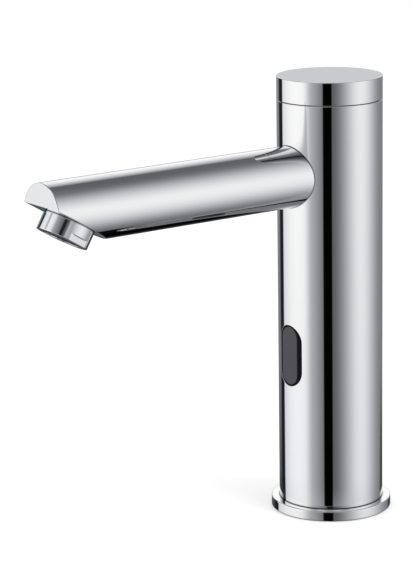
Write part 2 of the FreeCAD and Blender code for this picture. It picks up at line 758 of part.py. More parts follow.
def valve_block():
    """The block that the water crosses: up from behind, over the seat, and out to the tube in front."""
    body = piece("valve_block")
    ring(body, "0", "block_radius", "block_low", "block_top")
    # from the inlet tube to the ring chamber
    drilled(body, "0", "water_line", "feed_way", "block_low", "chamber_floor")
    drilled(body, "0", "water_line", "tube_hole", "block_low", "block_low + tube_in")
    drilled(body, "0", "water_line", "seal_pocket_radius", "block_low", "block_low + seal_pocket")
    # the diaphragm's recess, the chamber round the seat, and the seat's bore
    drilled(body, "0", "valve_line", "recess_radius", "seat_top", "block_top")
    chamber = sketch_on(body, "XY_Plane", "seat_top")
    circle(chamber, "0", "valve_line", "chamber_out")
    circle(chamber, "0", "valve_line", "chamber_in")
    pocket(body, chamber, "seat_top - chamber_floor")
    drilled(body, "0", "valve_line", "seat_bore", "cross_height - cross_way - seat_sump", "seat_top")
    # the cross way, drilled from the front, and the outlet tube's hole
    cross = circle(sketch_on(body, "XZ_Plane", "block_radius"), "0", "cross_height", "cross_way")
    pocket(body, cross, "block_radius + valve_line")
    tube_end = "block_top - tube_in - seal_pocket"
    drilled(body, "0", "-outlet_line", "tube_bore", "cross_height", tube_end)
    drilled(body, "0", "-outlet_line", "tube_hole", tube_end, "block_top")
    drilled(
        body, "0", "-outlet_line", "seal_pocket_radius", "block_top - seal_pocket", "block_top"
    )
    # screw holes, and a notch each side for the leads
    for side in ("-1", "1"):
        drilled(
            body,
            f"{side} * ear_spread",
            "valve_line",
            "screw_shank + running_fit",
            "block_top - screw_deep - loose_fit",
            "block_top",
        )
        notch = sketch_on(body, "XY_Plane", "block_top")
        low, high = ("lead_out - notch_radius", "body_radius")
        if side == "-1":
            low, high = (f"-({high})", f"-({low})")
        rectangle(notch, low, high, "-lead_line - notch_radius", "-lead_line + notch_radius")
        pocket(body, notch, "block_height")


def passage_plug():
    """Closes the mouth of the drilled cross way."""
    body = piece("passage_plug")
    face = sketch_on(body, "XZ_Plane", "block_radius - cross_plug")
    sketch = circle(face, "0", "cross_height", "cross_way - running_fit / 2")
    pad(body, sketch, "cross_plug - loose_fit")


def diaphragm():
    body = piece("diaphragm", y="valve_line", z="seat_top")
    web_low = "(diaphragm_thick - diaphragm_web) / 2"
    web_high = "(diaphragm_thick + diaphragm_web) / 2"
    turned(
        body,
        [
            ("insert_stem + loose_fit", "0"),
            ("pad_radius", "0"),
            ("pad_radius", web_low),
            ("chamber_out", web_low),
            ("chamber_out", "0"),
            ("diaphragm_radius", "0"),
            ("diaphragm_radius", "diaphragm_thick"),
            ("chamber_out", "diaphragm_thick"),
            ("chamber_out", web_high),
            ("pad_radius", web_high),
            ("pad_radius", "diaphragm_thick"),
            ("insert_stem + loose_fit", "diaphragm_thick"),
        ],
    )


def diaphragm_insert():
    """The stiff middle of the diaphragm, with the pilot hole that the plunger closes."""
    body = piece("diaphragm_insert", y="valve_line")
    turned(
        body,
        [
            ("pilot_hole", "block_top - insert_drop"),
            ("insert_stem", "block_top - insert_drop"),
            ("insert_stem", "block_top"),
            ("pad_radius", "block_top"),
            ("pad_radius", "insert_top"),
            ("pilot_radius * 2", "insert_top"),
            ("pilot_radius", "pilot_top"),
            ("pilot_hole", "pilot_top"),
        ],
    )


def valve_bonnet():
    """Clamps the diaphragm's rim, holds the pilot chamber, and carries the plunger's guide tube."""
    body = piece("valve_bonnet", y="valve_line")
    turned(
        body,
        [
            ("chamber_out", "block_top"),
            ("bonnet_radius", "block_top"),
            ("bonnet_radius", "bonnet_top"),
            ("guide_radius", "bonnet_top"),
            ("guide_radius", "guide_top"),
            ("guide_bore", "guide_top"),
            ("guide_bore", "block_top + bonnet_room"),
            ("chamber_out", "block_top + bonnet_room"),
        ],
    )
    for side in ("-1", "1"):
        ear = sketch_on(body, "XY_Plane", "block_top")
        inner, outer = ("bonnet_radius - 1", "ear_spread")
        if side == "-1":
            inner, outer = (f"-({outer})", f"-({inner})")
        rectangle(ear, inner, outer, "-ear_radius", "ear_radius")
        pad(body, ear, "ear_thick")
        tip = circle(
            sketch_on(body, "XY_Plane", "block_top"), f"{side} * ear_spread", "0", "ear_radius"
        )
        pad(body, tip, "ear_thick")
        drilled(
            body,
            f"{side} * ear_spread",
            "0",
            "screw_shank + loose_fit",
            "block_top",
            "block_top + ear_thick",
        )


def screw(name, x, y, seat, shank, head, head_high, deep):
    """A cap screw with a hexagon socket, its head on the seat and its shank below it."""
    body = loose_body(name, x, y, seat)
    turned(
        body,
        [
            ("0", f"-({deep})"),
            (shank, f"-({deep})"),
            (shank, "0"),
            (head, "0"),
            (head, head_high),
            ("0", head_high),
        ],
    )
    return body


def bonnet_screws():
    screws = [
        screw(
            f"bonnet_screw_{number_of}",
            f"{side} * ear_spread",
            "valve_line",
            "block_top + ear_thick",
            "screw_shank",
            "screw_head",
            "screw_head_high",
            "screw_deep + ear_thick",
        )
        for number_of, side in enumerate(("-1", "1"), start=1)
    ]
    grouped("bonnet_screws", screws)


# ---------------------------------------------------------------- solenoid


def plunger():
    body = piece("plunger", y="valve_line")
    turned(
        body,
        [
            ("0", "pilot_top + plunger_seal_radius"),
            ("plunger_seal_radius", "pilot_top + plunger_seal_radius"),
            ("plunger_seal_radius", "plunger_low"),
            ("plunger_radius", "plunger_low"),
            ("plunger_radius", "plunger_high"),
            ("spring_pocket", "plunger_high"),
            ("spring_pocket", "plunger_high - spring_pocket_deep"),
            ("0", "plunger_high - spring_pocket_deep"),
        ],
    )


def plunger_seal():
    """The rubber button in the plunger's foot, which closes the pilot hole."""
    ring(
        piece("plunger_seal", y="valve_line"),
        "0",
        "plunger_seal_radius",
        "pilot_top",
        "pilot_top + plunger_seal_radius",
    )


def coil_core():
    """The fixed core above the plunger; its stud holds the yoke and the magnet."""
    body = piece("coil_core", y="valve_line")
    turned(
        body,
        [
            ("0", "core_low"),
            ("guide_bore - loose_fit / 2", "core_low"),
            ("guide_bore - loose_fit / 2", "yoke_top"),
            ("core_stud", "yoke_top"),
            ("core_stud", "stud_top"),
            ("0", "stud_top"),
        ],
    )


def coil_bobbin():
    body = piece("coil_bobbin", y="valve_line")
    turned(
        body,
        [
            ("bobbin_bore", "coil_low"),
            ("coil_radius", "coil_low"),
            ("coil_radius", "coil_low + bobbin_wall"),
            ("bobbin_bore + bobbin_wall", "coil_low + bobbin_wall"),
            ("bobbin_bore + bobbin_wall", "coil_high - bobbin_wall"),
            ("coil_radius", "coil_high - bobbin_wall"),
            ("coil_radius", "coil_high"),
            ("bobbin_bore", "coil_high"),
        ],
    )


    # the post that the lead starts from, outside the winding
    foot = sketch_on(body, "XY_Plane", "coil_low")
    low, high = ("-valve_line - lead_line - terminal_half", "-valve_line - lead_line + terminal_half")
    rectangle(foot, "bobbin_bore", "terminal_out", low, high)
    pad(body, foot, "bobbin_wall")
    post = sketch_on(body, "XY_Plane", "coil_low")
    rectangle(post, "terminal_in", "terminal_out", low, high)
    pad(body, post, "4 * bobbin_wall")


def coil_winding():
    ring(
        piece("coil_winding", y="valve_line"),
        "bobbin_bore + bobbin_wall",
        "winding_radius",
        "coil_low + bobbin_wall",
        "coil_high - bobbin_wall",
    )


def coil_yoke():
    """A strap bent round the coil, which closes the magnetic path."""
    body = piece("coil_yoke", y="valve_line")
    outside = "yoke_reach"
    inside = "yoke_reach - yoke_thick"
    strap = sketch_on(body, "XZ_Plane", "yoke_half")
    rectangle(strap, f"-({outside})", outside, "bonnet_top", "yoke_top")
    rectangle(strap, f"-({inside})", inside, "bonnet_top + yoke_thick", "yoke_top - yoke_thick")
    pad(body, strap, "2 * yoke_half", reverse=True)
    drilled(body, "0", "0", "bobbin_bore", "bonnet_top", "bonnet_top + yoke_thick")
    drilled(body, "0", "0", "guide_bore", "yoke_top - yoke_thick", "yoke_top")

    def corner(edge):
        middle = edge.CenterOfMass
        return near(abs(middle.x), outside) and edge.Length > 2 * number("yoke_half") - 0.01

    eased(body, lambda edge: corner(edge) and near(edge.CenterOfMass.y, "0"), "yoke_thick / 2")


def latch_magnet():
    ring(
        piece("latch_magnet", y="valve_line"),
        "core_stud + loose_fit",
        "magnet_radius",
        "yoke_top",
        "magnet_top",
    )


def core_nut():
    body = piece("core_nut", y="valve_line")
    face = sketch_on(body, "XY_Plane", "magnet_top")
    points = []
    for x, y in ((1, 0), (0.5, 1), (-0.5, 1), (-1, 0), (-0.5, -1), (0.5, -1)):
        points.append((f"{x} * nut_half * 2 / sqrt(3)", f"{y} * nut_half"))
    outline(face, points)
    pad(body, face, "nut_thick")
    drilled(body, "0", "0", "core_stud + running_fit", "magnet_top", "nut_top")


# ---------------------------------------------------------------- spout


def spout_elbow():
    """Turns the water into the spout. Its threaded boss passes through the body and holds the spout."""
    body = piece("spout_elbow")
    base = circle(sketch_on(body, "XY_Plane", "elbow_low"), "0", "-outlet_line", "elbow_radius")
    pad(body, base, "elbow_socket + elbow_roof")
    neck = circle(sketch_on(body, "XY_Plane", "elbow_low"), "0", "-outlet_line", "elbow_neck")
    pad(body, neck, "spout_axis - elbow_low")
    collar = circle(sketch_on(body, "XZ_Plane", "collar_back"), "0", "spout_axis", "elbow_collar")
    pad(body, collar, "collar_front - collar_back")
    boss = circle(sketch_on(body, "XZ_Plane", "elbow_back"), "0", "spout_axis", "elbow_thread")
    pad(body, boss, "elbow_reach - elbow_back")
    # the ways through it
    way = circle(sketch_on(body, "XZ_Plane", "elbow_reach"), "0", "spout_axis", "elbow_way")
    pocket(body, way, "elbow_reach - outlet_line")
    drilled(body, "0", "-outlet_line", "tube_bore", "elbow_low", "spout_axis + tube_bore")
    drilled(body, "0", "-outlet_line", "tube_hole", "elbow_low", "elbow_low + elbow_socket")
    drilled(
        body, "0", "-outlet_line", "seal_pocket_radius", "elbow_low", "elbow_low + seal_pocket"
    )
    # the spout seal's groove, cut by a ring along the boss
    half = "seal_thin + loose_fit"
    groove = sketch_on(body, "XZ_Plane", f"spout_seal_at + {half}")
    circle(groove, "0", "spout_axis", "elbow_thread + loose_fit")
    circle(groove, "0", "spout_axis", "elbow_thread - 2 * seal_thin")
    pocket(body, groove, f"2 * ({half})")


def saddle_washer():
    """Fills the space between the elbow's flat collar and the round wall."""
    body = piece("saddle_washer")
    face = sketch_on(body, "XZ_Plane", "collar_front")
    circle(face, "0", "spout_axis", "elbow_collar")
    circle(face, "0", "spout_axis", "elbow_thread + loose_fit")
    pad(body, face, "body_radius - collar_front")
    grooved(
        body,
        [
            ("body_bore - running_fit / 2", "spout_axis - body_bore"),
            ("body_radius * 2", "spout_axis - body_bore"),
            ("body_radius * 2", "spout_axis + body_bore"),
            ("body_bore - running_fit / 2", "spout_axis + body_bore"),
        ],
    )


def spout_seal():
    seal = piece("spout_seal", y="-spout_seal_at", z="spout_axis", tilt="90")
    seal_ring(seal, "elbow_thread - seal_thin", "seal_thin")


def spout():
    """Level tube, coped to the body, with a solid end cut square above and slanted below.

    The outlet's socket is bored square to the slanted face, and a raised way joins it to the bore.
    """
    body = piece("spout")
    tube = circle(sketch_on(body, "XZ_Plane"), "0", "spout_axis", "spout_radius")
    pad(body, tube, "spout_reach")
    # the end on the body: coped to the body's outside
    cope = circle(sketch_on(body, "XY_Plane", "spout_axis + spout_radius * 2"), "0", "0", "cope_radius")
    pocket(body, cope, "spout_radius * 4")
    # the slanted face, cut through from one side
    slant = sketch_on(body, "YZ_Plane", "spout_radius * 2")
    run = "(outlet_lip + spout_radius * 2) / tan(outlet_slant * 1deg)"
    outline(
        slant,
        [
            ("-spout_reach - spout_radius", "lip_height"),
            ("-spout_reach - spout_radius", "spout_axis - spout_radius * 2"),
            (f"-spout_reach + {run}", "spout_axis - spout_radius * 2"),
            ("-spout_reach", "lip_height"),
        ],
    )
    pocket(body, slant, "spout_radius * 4")
    # the bore behind the end, the boss at the body, and the raised way
    bore = circle(sketch_on(body, "XZ_Plane", "spout_bore_end"), "0", "spout_axis", "spout_bore")
    pocket(body, bore, "spout_bore_end - spout_boss")
    boss = circle(sketch_on(body, "XZ_Plane", "spout_boss"), "0", "spout_axis", "boss_hole")
    pocket(body, boss, "spout_boss")
    way = circle(
        sketch_on(body, "XZ_Plane", "outlet_way_end"),
        "0",
        "spout_axis + outlet_way_rise",
        "outlet_way",
    )
    pocket(body, way, "outlet_way_end - spout_bore_end + loose_fit")
    # the socket, square to the slanted face
    socket = sketch_on(body, "XY_Plane")
    socket.AttachmentOffset = FreeCAD.Placement(
        FreeCAD.Vector(0, 0, 0),
        FreeCAD.Rotation(FreeCAD.Vector(1, 0, 0), number("outlet_tilt")),
    )
    socket.setExpression("AttachmentOffset.Rotation.Angle", formula("outlet_tilt") + " * 1deg")
    socket.setExpression("AttachmentOffset.Base.y", formula("-outlet_forward"))
    socket.setExpression("AttachmentOffset.Base.z", formula("outlet_height"))
    circle(socket, "0", "0", "socket_radius")
    pocket(body, socket, "socket_depth")

    def end_edge(edge):
        box = edge.BoundBox
        flat = near(box.YMin, "-spout_reach") and near(box.YMax, "-spout_reach")
        return flat and box.ZMax > number("lip_height") + 0.1

    eased(body, end_edge, "tip_round")


# ---------------------------------------------------------------- aerator


def on_outlet(label):
    """A piece whose own Z is the outlet's axis, outwards, from the slanted face."""
    return piece(label, y="-outlet_forward", z="outlet_height", tilt="outlet_tilt")


def aerator_washer():
    ring(
        on_outlet("aerator_washer"),
        "aerator_mouth - washer_thick",
        "aerator_thread - 3 * loose_fit",
        "-socket_depth",
        "-aerator_neck",
    )


def aerator_insert():
    """The mixing cartridge: a cup whose roof has a ring of jets, with room for air below them."""
    body = on_outlet("aerator_insert")
    radius = "aerator_bore - 2 * running_fit"
    low = "grid_face - grid_thick"
    turned(
        body,
        [
            ("0", "-aerator_neck"),
            (radius, "-aerator_neck"),
            (radius, low),
            (f"{radius} - washer_thick", low),
            (f"{radius} - washer_thick", "-aerator_neck + 2 * washer_thick"),
            ("0", "-aerator_neck + 2 * washer_thick"),
        ],
    )
    jet = sketch_on(body, "XY_Plane", "-aerator_neck + 2 * washer_thick")
    circle(jet, "aerator_mouth * 0.6", "0", "grid_hole / 2")
    first = pocket(body, jet, "2 * washer_thick")
    jets = body.newObject("PartDesign::PolarPattern", "jets")
    jets.Originals = [first]
    jets.Axis = (jet, ["N_Axis"])
    jets.Angle = 360
    jets.Occurrences = 12
    body.Tip = jets


def aerator_grid():
    """The outlet grid: a rim with crossing bars, whose ends run into the rim."""
    body = on_outlet("aerator_grid")
    low = "grid_face - grid_thick"
    ring(body, "aerator_mouth", "aerator_bore - 2 * running_fit", low, "grid_face")
    half = "(grid_pitch - grid_hole) / 2"
    for upright in (False, True):
        bars = sketch_on(body, "XY_Plane", low)
        for line in range(4):
            for side in ("-1", "1"):
                middle = f"{side} * ({line} + 0.5) * grid_pitch"
                reach = f"sqrt((aerator_mouth + {half}) ^ 2 - (({line} + 0.5) * grid_pitch + {half}) ^ 2)"
                across = (f"-{reach}", reach)
                along = (f"{middle} - {half}", f"{middle} + {half}")
                rectangle(bars, *(along + across if upright else across + along))
        pad(body, bars, "grid_thick")


def aerator_housing():
    """Screwed into the spout: threaded neck, plain skirt with two spanner flats, and the mouth's lip."""
    body = on_outlet("aerator_housing")
    turned(
        body,
        [
            ("aerator_bore", "-aerator_neck"),
            ("aerator_thread", "-aerator_neck"),
            ("aerator_thread", "0"),
            ("aerator_skirt", "0"),
            ("aerator_skirt", "aerator_drop"),
            ("aerator_mouth", "aerator_drop"),
            ("aerator_mouth", "grid_face"),
            ("aerator_bore", "grid_face"),
        ],
    )
    for side in (0, 180):
        flat = sketch_on(body, "XY_Plane", "aerator_drop")
        flat.AttachmentOffset = FreeCAD.Placement(
            flat.AttachmentOffset.Base,
            FreeCAD.Rotation(FreeCAD.Vector(0, 0, 1), number("spanner_turn") + side),
        )
        flat.setExpression("AttachmentOffset.Base.z", formula("aerator_drop"))
        flat.setExpression(
            "AttachmentOffset.Rotation.Angle", formula(f"(spanner_turn + {side}) * 1deg")
        )
        rectangle(
            flat, "spanner_width", "aerator_skirt * 2", "-aerator_skirt", "aerator_skirt"
        )
        pocket(body, flat, "spanner_height")


# ---------------------------------------------------------------- body tube and cap


def body_tube():
    body = piece("body_tube")
    turned(
        body,
        [
            ("body_bore", "flange_height"),
            ("body_radius", "flange_height"),
            ("body_radius", "seam_height - seam_bevel"),
            ("body_radius - seam_bevel", "seam_height"),
            ("body_bore", "seam_height"),
        ],
    )
    window = sketch_on(body, "XZ_Plane", "body_radius + loose_fit")
    obround(window, "0", "window_height", "window_radius", "window_half - window_radius")
    pocket(body, window, "body_radius")
    hole = circle(
        sketch_on(body, "XZ_Plane", "body_radius + loose_fit"),
        "0",
        "spout_axis",
        "elbow_thread + loose_fit",
    )
    pocket(body, hole, "body_radius")


def top_cap():
    """Hollow cap; its spigot screws into the body's mouth and its groove holds the seal."""
    body = piece("top_cap")
    groove_half = "seal_thin + loose_fit"
    groove_floor = "spigot_radius - 2 * seal_thin"
    turned(
        body,
        [
            ("0", "cap_top - cap_roof"),
            ("spigot_bore", "cap_top - cap_roof"),
            ("spigot_bore", "seam_height - spigot_deep"),
            ("spigot_radius", "seam_height - spigot_deep"),
            ("spigot_radius", f"cap_seal_at - ({groove_half})"),
            (groove_floor, f"cap_seal_at - ({groove_half})"),
            (groove_floor, f"cap_seal_at + ({groove_half})"),
            ("spigot_radius", f"cap_seal_at + ({groove_half})"),
            ("spigot_radius", "seam_height"),
            ("body_radius - seam_bevel", "seam_height"),
            ("body_radius", "seam_height + seam_bevel"),
            ("body_radius", "cap_top"),
            ("0", "cap_top"),
        ],
    )
    eased(body, round_edge("body_radius", "cap_top"), "edge_bevel", "Chamfer")


def cap_seal():
    seal_ring(piece("cap_seal", z="cap_seal_at"), "spigot_radius - seal_thin", "seal_thin - running_fit")


# ---------------------------------------------------------------- sensor


def trimmed_to_body(body):
    """Cuts away what stands out of the body's outside, so that the piece lies flush in the window."""
    grooved(
        body,
        [
            ("body_radius", "window_height - window_half * 2"),
            ("body_radius * 2", "window_height - window_half * 2"),
            ("body_radius * 2", "window_height + window_half * 2"),
            ("body_radius", "window_height + window_half * 2"),
        ],
    )


def lens_bezel():
    body = piece("lens_bezel")
    flange = sketch_on(body, "XZ_Plane", "bezel_rear")
    obround(
        flange, "0", "window_height", "window_radius + bezel_flange", "window_half - window_radius"
    )
    pad(body, flange, "bezel_seat - bezel_rear")
    neck = sketch_on(body, "XZ_Plane", "bezel_rear")
    obround(
        neck, "0", "window_height", "window_radius - loose_fit", "window_half - window_radius"
    )
    pad(body, neck, "body_radius - bezel_rear + loose_fit")
    mouth = sketch_on(body, "XZ_Plane", "body_radius + loose_fit")
    obround(mouth, "0", "window_height", "lens_radius + running_fit", "lens_half - lens_radius")
    pocket(body, mouth, "body_radius")
    trimmed_to_body(body)


def sensor_lens():
    """Flat-faced lens: its face lies just behind the body's front, so its sides stand proud."""
    body = piece("sensor_lens")
    flange = sketch_on(body, "XZ_Plane", "lens_rear")
    obround(
        flange, "0", "window_height", "lens_radius + bezel_flange", "lens_half - lens_radius"
    )
    pad(body, flange, "bezel_rear - lens_rear")
    window = sketch_on(body, "XZ_Plane", "lens_rear")
    obround(window, "0", "window_height", "lens_radius", "lens_half - lens_radius")
    pad(body, window, "lens_front - lens_rear")


def sensor_case():
    """An open box behind the lens, with a wall that keeps the emitter's light from the receiver."""
    body = piece("sensor_case")
    depth = "lens_rear - board_front"
    box = sketch_on(body, "XZ_Plane", "board_front")
    rectangle(
        box, "-case_half", "case_half", "window_height - case_rise", "window_height + case_rise"
    )
    pad(body, box, depth)
    inside = "case_half - case_wall"
    for low, high in (
        ("window_height - case_rise + 3 * case_wall", "window_height - case_wall / 2"),
        ("window_height + case_wall / 2", "window_height + case_rise - 3 * case_wall"),
    ):
        room = sketch_on(body, "XZ_Plane", "lens_rear")
        rectangle(room, f"-({inside})", inside, low, high)
        pocket(body, room, depth)
    for side in ("-1", "1"):
        hole = circle(
            sketch_on(body, "XZ_Plane", "lens_rear"),
            "0",
            f"window_height + {side} * (case_rise - 1.5 * case_wall)",
            "lead_radius + running_fit",
        )
        pocket(body, hole, depth)


def circuit_board():
    """The board in the chassis's grooves, with its chips and the two lead connectors on the back."""
    body = piece("circuit_board")
    board = sketch_on(body, "XZ_Plane", "board_rear")
    rectangle(board, "-board_half", "board_half", "board_low", "block_low - loose_fit")
    pad(body, board, "board_thick")
    chips = sketch_on(body, "XZ_Plane", "board_rear")
    for x, z in (("-4 * board_thick", "6"), ("2 * board_thick", "14")):
        rectangle(
            chips,
            f"{x} - 2 * board_thick",
            f"{x} + 2 * board_thick",
            f"board_low + {z} * board_thick - 3 * board_thick",
            f"board_low + {z} * board_thick + 2 * board_thick",
        )
    pad(body, chips, "board_thick * 0.75", reverse=True)
    sockets = sketch_on(body, "XZ_Plane", "board_rear")
    rectangle(
        sockets,
        "post_in - 1.5 * plug_block",
        "post_in - plug_block / 2",
        "lead_floor - plug_block / 2",
        "lead_floor + plug_block / 2",
    )
    rectangle(
        sockets,
        "-post_in + plug_block / 2",
        "-post_in + 1.5 * plug_block",
        "lead_floor - plug_block / 2",
        "lead_floor + plug_block / 2",
    )
    pad(body, sockets, "board_rear - lead_line + 2 * lead_radius", reverse=True)
    for side in ("-1", "1"):
        hole = circle(
            sketch_on(body, "XZ_Plane", "board_front"),
            "0",
            f"window_height + {side} * (case_rise - 1.5 * case_wall)",
            "lead_radius + running_fit",
        )
        pocket(body, hole, "board_thick")


def diode(label, side):
    """A domed diode on the board, with the rim at its foot."""
    body = piece(label, z=f"window_height {side} diode_spread")
    rim = circle(sketch_on(body, "XZ_Plane", "diode_base"), "0", "0", "diode_radius + 2 * loose_fit")
    pad(body, rim, "diode_radius / 2.5")
    barrel = circle(sketch_on(body, "XZ_Plane", "diode_base"), "0", "0", "diode_radius")
    pad(body, barrel, "diode_reach")

    def crown(edge):
        curve = edge.Curve
        return curve.TypeId == "Part::GeomCircle" and near(
            edge.CenterOfMass.y, "-diode_base - diode_reach"
        )

    eased(body, crown, "diode_radius / 2", "Chamfer")


def case_screws():
    """Two screws from behind the board into the sensor case."""
    screws = []
    for name, side in (("case_screw_low", "-1"), ("case_screw_high", "1")):
        body = loose_body(name, z=f"window_height + {side} * (case_rise - 1.5 * case_wall)")
        shank = circle(sketch_on(body, "XZ_Plane", "board_rear"), "0", "0", "lead_radius")
        pad(body, shank, "board_thick + case_wall * 3")
        head = circle(sketch_on(body, "XZ_Plane", "board_rear"), "0", "0", "lead_radius * 2")
        pad(body, head, "case_wall", reverse=True)
        screws.append(body)
    grouped("case_screws", screws)


# ---------------------------------------------------------------- battery


def cell_shape(sketch, radius):
    return obround(sketch, "0", "cell_line", radius, "cell_spread", upright=False)


def battery_tray():
    """An open cup for the two cells, on legs that stand on the valve block and clear the coil."""
    body = piece("battery_tray")
    cup = cell_shape(sketch_on(body, "XY_Plane", "tray_low"), "tray_inside + tray_wall")
    pad(body, cup, "tray_rise")
    for side in ("-1", "1"):
        leg = sketch_on(body, "XY_Plane", "block_top")
        circle(leg, f"{side} * leg_spread", "leg_line", "leg_radius")
        pad(body, leg, "tray_low - block_top + tray_rise")
    room = cell_shape(sketch_on(body, "XY_Plane", "tray_low + tray_rise"), "tray_inside")
    pocket(body, room, "tray_rise - tray_floor")


def battery_contacts():
    """The plate that bridges the two cells at their foot."""
    body = piece("battery_contacts")
    plate = cell_shape(sketch_on(body, "XY_Plane", "tray_low + tray_floor"), "cell_radius - tray_wall")
    pad(body, plate, "contact_thick")


def battery_cells():
    """Two alike lithium cells with their raised terminals."""
    cells = []
    for name, side in (("battery_cell_left", "-1"), ("battery_cell_right", "1")):
        body = loose_body(name, f"{side} * cell_spread", "cell_line")
        turned(
            body,
            [
                ("0", "cell_low"),
                ("cell_radius", "cell_low"),
                ("cell_radius", "cell_top - lid_thick"),
                ("cell_radius / 3", "cell_top - lid_thick"),
                ("cell_radius / 3", "cell_top"),
                ("0", "cell_top"),
            ],
        )
        cells.append(body)
    grouped("battery_cells", cells)


def battery_lid():
    """Carries the upper contacts and keeps the cells in line."""
    body = piece("battery_lid")
    pad(body, cell_shape(sketch_on(body, "XY_Plane", "cell_top"), "tray_inside"), "lid_thick")


# ---------------------------------------------------------------- leads


def lead(label, side, points, first_down):
    """A round lead along level and upright runs by turns, with a tangent bend at each corner."""
    body = piece(label, y="-lead_line")
    path = sketch_on(body, "XZ_Plane")
    corners = [(f"{side} * ({x})", z) for x, z in points]
    places = [FreeCAD.Vector(number(x), number(z), 0) for x, z in corners]
    bend = number("lead_bend")
    start = places[0]
    joins = []
    for before, corner, after in zip(places, places[1:], places[2:]):
        back = (before - corner).normalize()
        ahead = (after - corner).normalize()
        centre = corner + (back + ahead) * bend
        crown = centre - (back + ahead).normalize() * bend
        line = path.addGeometry(Part.LineSegment(start, corner + back * bend), False)
        arc = path.addGeometry(Part.Arc(corner + back * bend, crown, corner + ahead * bend), False)
        near_end, far_end = (2, 1) if back.cross(ahead).z > 0 else (1, 2)
        joins += [(line, 2, arc, near_end), (arc, far_end, arc + 1, 1)]
        start = corner + ahead * bend
    last = path.addGeometry(Part.LineSegment(start, places[-1]), False)
    for join in joins:
        path.addConstraint(Sketcher.Constraint("Tangent", *join))
    for line in range(0, last + 1, 2):
        upright = first_down == (line % 4 == 0)
        path.addConstraint(Sketcher.Constraint("Vertical" if upright else "Horizontal", line))
        if line in (0, last):
            continue
        x, z = corners[line // 2]
        kind, text = ("DistanceX", x) if upright else ("DistanceY", z)
        held = path.addConstraint(Sketcher.Constraint(kind, -1, 1, line, 1, number(text)))
        path.setExpression(f"Constraints[{held}]", formula(text))
    for arc in range(1, last, 2):
        size = path.addConstraint(Sketcher.Constraint("Radius", arc, bend))
        path.setExpression(f"Constraints[{size}]", formula("lead_bend"))
    pin(path, 0, 1, *corners[0])
    pin(path, last, 2, *corners[-1])
    x, z = corners[0]
    if first_down:
        section = circle(sketch_on(body, "XY_Plane", z), x, "0", "lead_radius")
    else:
        section = circle(sketch_on(body, "YZ_Plane", x), "0", z, "lead_radius")
    feature(body, "AdditivePipe", section, Spine=(path, [""]))


def leads():
    lead(
        "coil_lead",
        "1",
        [
            ("terminal_out", "coil_low + 2.5 * bobbin_wall"),
            ("lead_out", "coil_low + 2.5 * bobbin_wall"),
            ("lead_out", "lead_floor"),
            ("post_in - plug_block / 2", "lead_floor"),
        ],
        first_down=False,
    )
    lead(
        "battery_lead",
        "-1",
        [
            ("cell_spread", "tray_low"),
            ("cell_spread", "yoke_top + lead_bend / 3"),
            ("lead_out", "yoke_top + lead_bend / 3"),
            ("lead_out", "lead_floor"),
            ("post_in - plug_block / 2", "lead_floor"),
        ],
        first_down=True,
    )


# ---------------------------------------------------------------- the whole part

base_flange()
base_seal()
base_plug()
inlet_filter()
check_valve_body()
check_valve_poppet()
check_valve_guide()
spring("check_valve_spring", "water_line", "poppet_seat + poppet_thick", "check_top", "check_spring")
inlet_tube()
outlet_tube()
tube_seals()
chassis()
valve_block()
passage_plug()
diaphragm()
diaphragm_insert()
valve_bonnet()
bonnet_screws()
plunger()
plunger_seal()
spring(
    "plunger_spring", "valve_line", "plunger_high - spring_pocket_deep", "core_low", "plunger_spring"
)
coil_core()
coil_bobbin()
coil_winding()
coil_yoke()
latch_magnet()
core_nut()
spout_elbow()
saddle_washer()
spout_seal()
spout()
aerator_washer()
aerator_insert()
aerator_grid()
aerator_housing()
body_tube()
top_cap()
cap_seal()
lens_bezel()
sensor_lens()
sensor_case()
circuit_board()
diode("infrared_emitter", "+")
diode("infrared_receiver", "-")
case_screws()
battery_tray()
battery_contacts()
battery_cells()
battery_lid()
leads()
doc.recompute()

for item in doc.Objects:
    if "Invalid" in item.State or "Error" in item.State:
        raise RuntimeError(f"{item.Label}: {item.State}")

os.makedirs("parts", exist_ok=True)
for part in PARTS:
    shape = part.Shape
    if shape.isNull() or not shape.isValid() or not shape.Solids:
        raise RuntimeError(f"{part.Label}: no valid solid")
    shape.exportStep(f"parts/{part.Label}.step")
print(f"{len(PARTS)} pieces written")
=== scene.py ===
"""Sensor tap: the dressed surfaces, the finishes and the studio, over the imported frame."""

import bmesh
import bpy
import numpy as np
from mathutils import Matrix, Vector


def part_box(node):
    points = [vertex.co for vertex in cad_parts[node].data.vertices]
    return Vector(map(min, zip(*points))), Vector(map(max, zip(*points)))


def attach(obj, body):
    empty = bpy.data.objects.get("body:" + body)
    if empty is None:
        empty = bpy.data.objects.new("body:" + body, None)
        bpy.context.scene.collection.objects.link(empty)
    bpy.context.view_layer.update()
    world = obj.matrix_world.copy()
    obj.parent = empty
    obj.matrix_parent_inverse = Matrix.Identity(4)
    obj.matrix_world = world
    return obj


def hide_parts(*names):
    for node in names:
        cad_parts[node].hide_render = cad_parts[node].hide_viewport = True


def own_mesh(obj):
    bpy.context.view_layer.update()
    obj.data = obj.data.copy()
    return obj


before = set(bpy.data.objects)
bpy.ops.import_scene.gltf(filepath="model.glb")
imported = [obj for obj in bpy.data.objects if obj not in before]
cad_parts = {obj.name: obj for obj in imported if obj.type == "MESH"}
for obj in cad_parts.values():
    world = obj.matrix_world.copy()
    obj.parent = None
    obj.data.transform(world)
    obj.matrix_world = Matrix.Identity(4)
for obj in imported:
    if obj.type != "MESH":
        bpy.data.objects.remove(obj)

bl_info = {
    "name": "Sensor tap",
    "version": (1, 0, 0),
    "blender": (4, 5, 0),
    "location": "3D View > Sidebar > Sensor tap",
    "description": "Dresses the frame of a sensor tap with smooth surfaces and finishes",
    "category": "Object",
}

